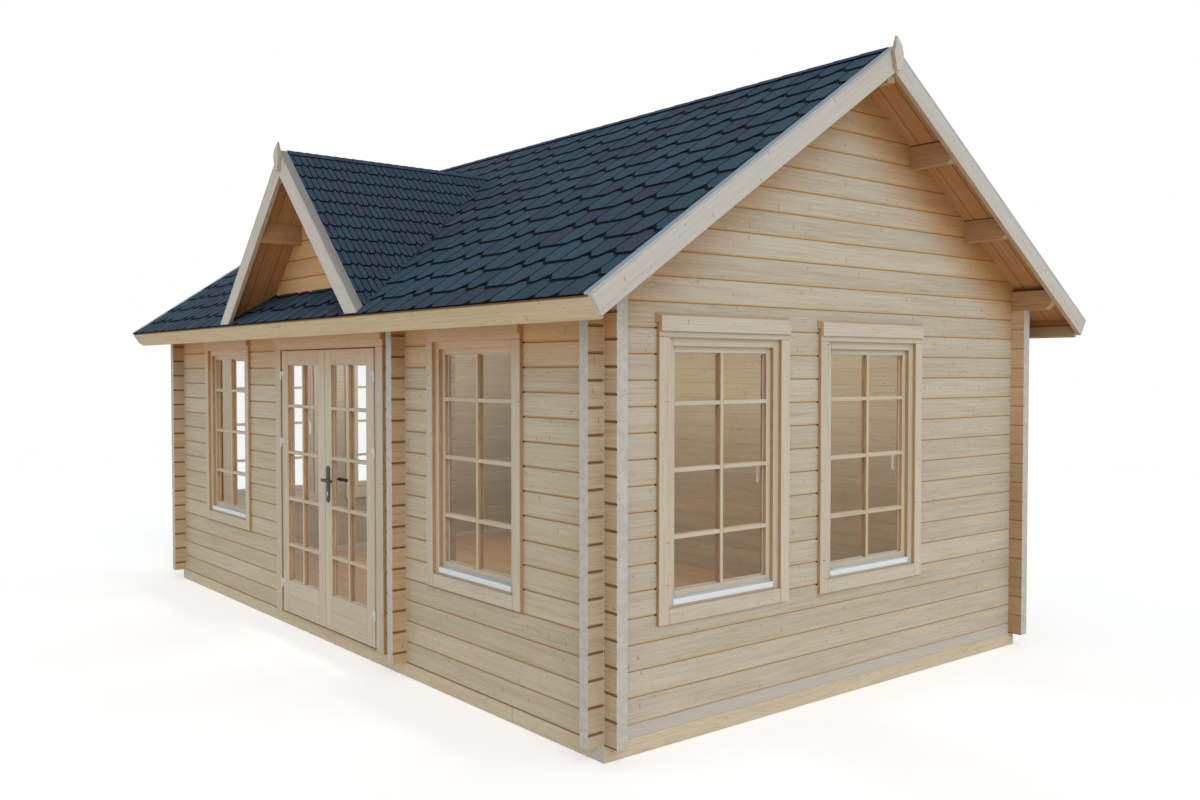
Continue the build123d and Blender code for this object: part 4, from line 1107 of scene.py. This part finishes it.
def add_rod(mesh, start, end, radius, segments=20, tip=0.0, radius_end=None):
    """A round bar between two points, with softened ends."""
    start, end = Vector(start), Vector(end)
    along = (end - start).normalized()
    helper = Vector((0, 0, 1)) if abs(along.z) < 0.9 else Vector((1, 0, 0))
    u = along.cross(helper).normalized()
    v = along.cross(u)
    last = radius if radius_end is None else radius_end
    stations = [(start, radius), (end, last)]
    if tip:
        soft = along * tip
        stations = [(start, radius - tip), (start + soft, radius), (end - soft, last), (end, last - tip)]
    rings = []
    for centre, size in stations:
        angles = [2 * math.pi * number / segments for number in range(segments)]
        rings.append([mesh.verts.new(centre + size * (math.cos(a) * u + math.sin(a) * v)) for a in angles])
    close_rings(mesh, rings)


def close_rings(mesh, rings):
    """A closed skin over rings of the same count."""
    for first, second in zip(rings, rings[1:]):
        band_faces(mesh, first, second)
    mesh.faces.new(rings[0])
    mesh.faces.new(rings[-1][::-1])


def add_plate(mesh, low, high, corner, edge):
    """A plate with rounded corners in X and Z and softened front edges."""
    x0, y0, z0 = low
    x1, y1, z1 = high
    left, right, bottom, top = x0 + corner, x1 - corner, z0 + corner, z1 - corner
    outline = []
    for number, (cx, cz) in enumerate(((right, top), (left, top), (left, bottom), (right, bottom))):
        for angle in range(90 * number, 90 * number + 91, 15):
            outline.append((cx, cz, math.cos(math.radians(angle)), math.sin(math.radians(angle))))
    rings = []
    for y, inset in ((y0, edge), (y0 + edge, 0.0), (y1 - edge, 0.0), (y1, edge)):
        radius = corner - inset
        rings.append([mesh.verts.new((cx + radius * c, y, cz + radius * s)) for cx, cz, c, s in outline])
    close_rings(mesh, rings)


def finish_fitting(name, mesh, material, body="cabin", replaced=(), transform=DOOR):
    """Turns a fitting in the door's own frame into a smooth piece."""
    bmesh.ops.recalc_face_normals(mesh, faces=mesh.faces)
    bmesh.ops.transform(mesh, matrix=transform, verts=mesh.verts)
    piece = new_piece(name, mesh, material, body, replaced, smooth=True)
    piece.data.set_sharp_from_angle(angle=math.radians(35))


HINGES = (0.232, 1.320, 1.835)
HINGE_X, HINGE_Y = 0.7665, -0.024
KNUCKLE, KNUCKLE_LENGTH, KNUCKLE_PLAY, KNUCKLE_EDGE = 0.008, 0.032, 0.00025, 0.0008
CAP, CAP_LENGTH, CAP_EDGE = 0.0062, 0.003, 0.0015
FLAP, FLAP_FRONT, JAMB_FLAP, FLAP_EDGE = 0.030, -0.0225, 0.759, 0.0004


def add_knuckle(mesh, side, height, way):
    """Half a hinge above (way 1) or below (way -1) its middle, with a button at its far end."""
    near = height + way * KNUCKLE_PLAY
    far = near + way * KNUCKLE_LENGTH
    for a, b, radius, tip in (
        (near, far, KNUCKLE, KNUCKLE_EDGE), (far, far + way * CAP_LENGTH, CAP, CAP_EDGE),
    ):
        low, high = sorted((a, b))
        add_rod(mesh, (side * HINGE_X, HINGE_Y, low), (side * HINGE_X, HINGE_Y, high), radius, 24, tip)
    return sorted((near, far))


def hinges(side):
    """The halves of the hinges that turn with a leaf."""
    body = "right_leaf" if side > 0 else "left_leaf"
    mesh = bmesh.new()
    for height in HINGES:
        low, high = add_knuckle(mesh, side, height, 1)
        x0, x1 = sorted((side * (LEAF_EDGE - FLAP), side * HINGE_X))
        add_plate(mesh, (x0, FLAP_FRONT, low), (x1, LEAF_FRONT, high), 0.003, FLAP_EDGE)
    finish_fitting(body + "_knuckles", mesh, HINGE, body, (body + "_hinges",))


def hinge_pins():
    """The halves of the hinges on the jambs."""
    mesh = bmesh.new()
    for side in (-1, 1):
        for height in HINGES:
            low, high = add_knuckle(mesh, side, height, -1)
            x0, x1 = sorted((side * JAMB_FLAP, side * (HINGE_X + 0.002)))
            add_plate(mesh, (x0, HINGE_Y, low), (x1, 0.0, high), 0.002, FLAP_EDGE)
    finish_fitting("jamb_knuckles", mesh, HINGE, replaced=("hinge_pins",))


LEVER_X, LEVER_Z = 0.058, 1.090
PLATE_HALF, PLATE_DOWN, PLATE_UP, PLATE_DEPTH = 0.024, 0.162, 0.100, 0.008
NECK, NECK_REACH, GRIP_REACH, SEATED = 0.0085, 0.048, 0.0425, 0.005
GRIP = ((-0.013, 0.0120), (0.004, 0.0128), (0.030, 0.0120), (0.070, 0.0116), (0.110, 0.0116), (0.124, 0.0118))
KEY_Z, KEY_LOW, KEY_DEPTH, KEY_HALF = -0.092, -0.118, 0.010, 0.0045
SCREWS, SCREW, SCREW_DEPTH = (-0.148, 0.086), 0.004, 0.0072


def lever():
    """Plate, neck, grip and screws on both sides of the leaf, and the bright key cylinder below the lever."""
    mesh, lock = bmesh.new(), bmesh.new()
    x, z = LEVER_X, LEVER_Z
    for face, way in ((LEAF_FRONT, -1), (LEAF_BACK, 1)):
        seated = face + way * SEATED
        y0, y1 = sorted((face, face + way * PLATE_DEPTH))
        plate = (x - PLATE_HALF, y0, z - PLATE_DOWN), (x + PLATE_HALF, y1, z + PLATE_UP)
        add_plate(mesh, *plate, 0.022, 0.002)
        add_rod(mesh, (x, seated, z), (x, face + way * NECK_REACH, z), NECK, 20, 0.001)
        reach = face + way * GRIP_REACH
        for (xa, ra), (xb, rb) in zip(GRIP, GRIP[1:]):
            add_rod(mesh, (x + xa, reach, z), (x + xb, reach, z), ra, 18, 0.0, rb)
        tip, radius = GRIP[-1]
        add_rod(mesh, (x + tip - 0.0001, reach, z), (x + tip + 0.004, reach, z), radius, 18, 0.002)
        key = face + way * KEY_DEPTH
        add_rod(lock, (x, seated, z + KEY_Z), (x, key, z + KEY_Z), 0.0085, 24, 0.001)
        low, high = sorted((seated, key))
        add_plate(lock, (x - KEY_HALF, low, z + KEY_LOW), (x + KEY_HALF, high, z + KEY_Z), 0.0044, 0.0008)
        for dz in SCREWS:
            add_rod(mesh, (x, seated, z + dz), (x, face + way * SCREW_DEPTH, z + dz), SCREW, 18, 0.0006)
    finish_fitting("lever_set", mesh, DARK, "right_leaf", ("lever_handle",))
    finish_fitting("lock_cylinder", lock, LOCK, "right_leaf")


ROSE_HALF, ROSE_RISE, ROSE_DEPTH = 0.013, 0.032, 0.009
GRIP_HALF, GRIP_DOWN, GRIP_UP, GRIP_NEAR, GRIP_FAR = 0.009, 0.110, 0.012, 0.034, 0.046


def turn_handles():
    """A rose, a spindle and a grip inside each window."""
    mesh = bmesh.new()
    y = SASH_BACK
    middle = (SASH_LOW + SASH_TOP) / 2
    for place, wall in WINDOWS:
        one = bmesh.new()
        x = (-1 if wall == "left" else 1) * (SASH_HALF - SASH_RAIL / 2)
        rose = (x - ROSE_HALF, y, middle - ROSE_RISE), (x + ROSE_HALF, y + ROSE_DEPTH, middle + ROSE_RISE)
        add_plate(one, *rose, 0.012, 0.0015)
        add_rod(one, (x, y + 0.005, middle), (x, y + 0.040, middle), 0.008)
        near = (x - GRIP_HALF, y + GRIP_NEAR, middle - GRIP_DOWN)
        far = (x + GRIP_HALF, y + GRIP_FAR, middle + GRIP_UP)
        add_plate(one, near, far, 0.0085, 0.003)
        bmesh.ops.transform(one, matrix=wall_frame(place, wall), verts=one.verts)
        data = bpy.data.meshes.new("one_handle")
        one.to_mesh(data)
        one.free()
        mesh.from_mesh(data)
        bpy.data.meshes.remove(data)
    finish_fitting(
        "turn_handles", mesh, WHITE, replaced=("window_handles",), transform=Matrix())


hinges(-1)
hinges(1)
hinge_pins()
lever()
turn_handles()


# Stage, light and camera

STAGE_HALF, STAGE_DEPTH = 40, -0.001


def stage_floor():
    """Pale ground that glows a little and fades out far from the cabin."""
    g = Graph("stage_floor")
    x, y, _ = g.split(g.here())
    open_air = g.step(g.math("SQRT", x * x + y * y), 9.0, 17.0)
    seen = g.node("ShaderNodeLightPath", "Is Camera Ray")
    colour = g.mix(seen, (0.80, 0.77, 0.73), (0.93, 0.93, 0.93))
    tint = g.mix(seen, (1.0, 0.92, 0.82), (0.97, 0.985, 1.0))
    matt = g.node("ShaderNodeBsdfDiffuse", 0, {"Color": colour})
    glow = g.node("ShaderNodeEmission", 0, {"Color": tint, "Strength": seen * 0.13 + 0.22})
    ground = g.node("ShaderNodeAddShader", 0, {0: matt, 1: glow})
    clear = g.node("ShaderNodeBsdfTransparent", 0)
    g.surface(g.node("ShaderNodeMixShader", 0, {0: open_air, 1: ground, 2: clear}))
    mesh = bpy.data.meshes.new("stage_floor")
    corners = [(x * STAGE_HALF, y * STAGE_HALF, STAGE_DEPTH) for x, y in ((-1, -1), (1, -1), (1, 1), (-1, 1))]
    mesh.from_pydata(corners, [], [(0, 1, 2, 3)])
    mesh.materials.append(g.owner)
    floor = bpy.data.objects.new("stage_floor", mesh)
    bpy.context.scene.collection.objects.link(floor)


DOME_LEFT, DOME_RIGHT = 0.49, 0.70


def studio():
    """White to the eye, and a soft dome that is brighter towards +X, on the gable's side."""
    g = Graph("studio", bpy.data.worlds.new)
    bpy.context.scene.world = g.owner
    camera_ray, glossy_ray, through_ray = (
        g.node("ShaderNodeLightPath", f"Is {kind} Ray") for kind in ("Camera", "Glossy", "Transmission"))
    seen = g.math("MAXIMUM", g.math("MAXIMUM", camera_ray, glossy_ray), through_ray)
    toward = g.split(g.node("ShaderNodeTexCoord", "Generated"))[0]
    strength = toward * ((DOME_RIGHT - DOME_LEFT) / 2) + (DOME_RIGHT + DOME_LEFT) / 2
    light = g.node("ShaderNodeBackground", 0, {0: (0.95, 0.975, 1.0), 1: strength})
    white = g.node("ShaderNodeBackground", 0, {0: (1.0, 1.0, 1.0), 1: 1.0})
    g.surface(g.node("ShaderNodeMixShader", 0, {0: seen, 1: light, 2: white}), "ShaderNodeOutputWorld")
    for name, direction, energy, colour, angle in (
        ("key", (-0.78, 0.28, -0.56), 0.86, (1.0, 0.985, 0.965), 40),
        ("fill", (0.35, 0.75, -0.55), 0.12, (0.95, 0.975, 1.0), 60),
    ):
        data = bpy.data.lights.new(name, "SUN")
        data.energy, data.color, data.angle = energy, colour, math.radians(angle)
        lamp = bpy.data.objects.new(name, data)
        lamp.rotation_mode = "QUATERNION"
        lamp.rotation_quaternion = Vector(direction).to_track_quat("-Z", "Y")
        bpy.context.scene.collection.objects.link(lamp)


def room_light():
    """Light under the ridge, so that the room shows through the panes."""
    for place in (-1.5, 1.7):
        data = bpy.data.lights.new("room", "AREA")
        data.shape, data.size, data.size_y = "RECTANGLE", 2.4, 0.9
        data.energy, data.color = 53, (1.0, 0.93, 0.75)
        lamp = bpy.data.objects.new("room", data)
        lamp.location = (place, 0.0, 3.30)
        lamp.visible_camera = lamp.visible_glossy = lamp.visible_transmission = False
        bpy.context.scene.collection.objects.link(lamp)


def camera():
    """The photo's camera, solved from its edges."""
    data = bpy.data.cameras.new("camera")
    data.lens, data.sensor_width = 32.64, 36.0
    data.clip_end = 200
    made = bpy.data.objects.new("camera", data)
    made.location = (7.318, -5.304, 1.965)
    made.rotation_euler = (math.radians(90 - 1.554), 0.0, math.radians(50.966))
    bpy.context.scene.collection.objects.link(made)
    bpy.context.scene.camera = made


stage_floor()
studio()
room_light()
camera()
bpy.context.scene.view_settings.view_transform = "Standard"
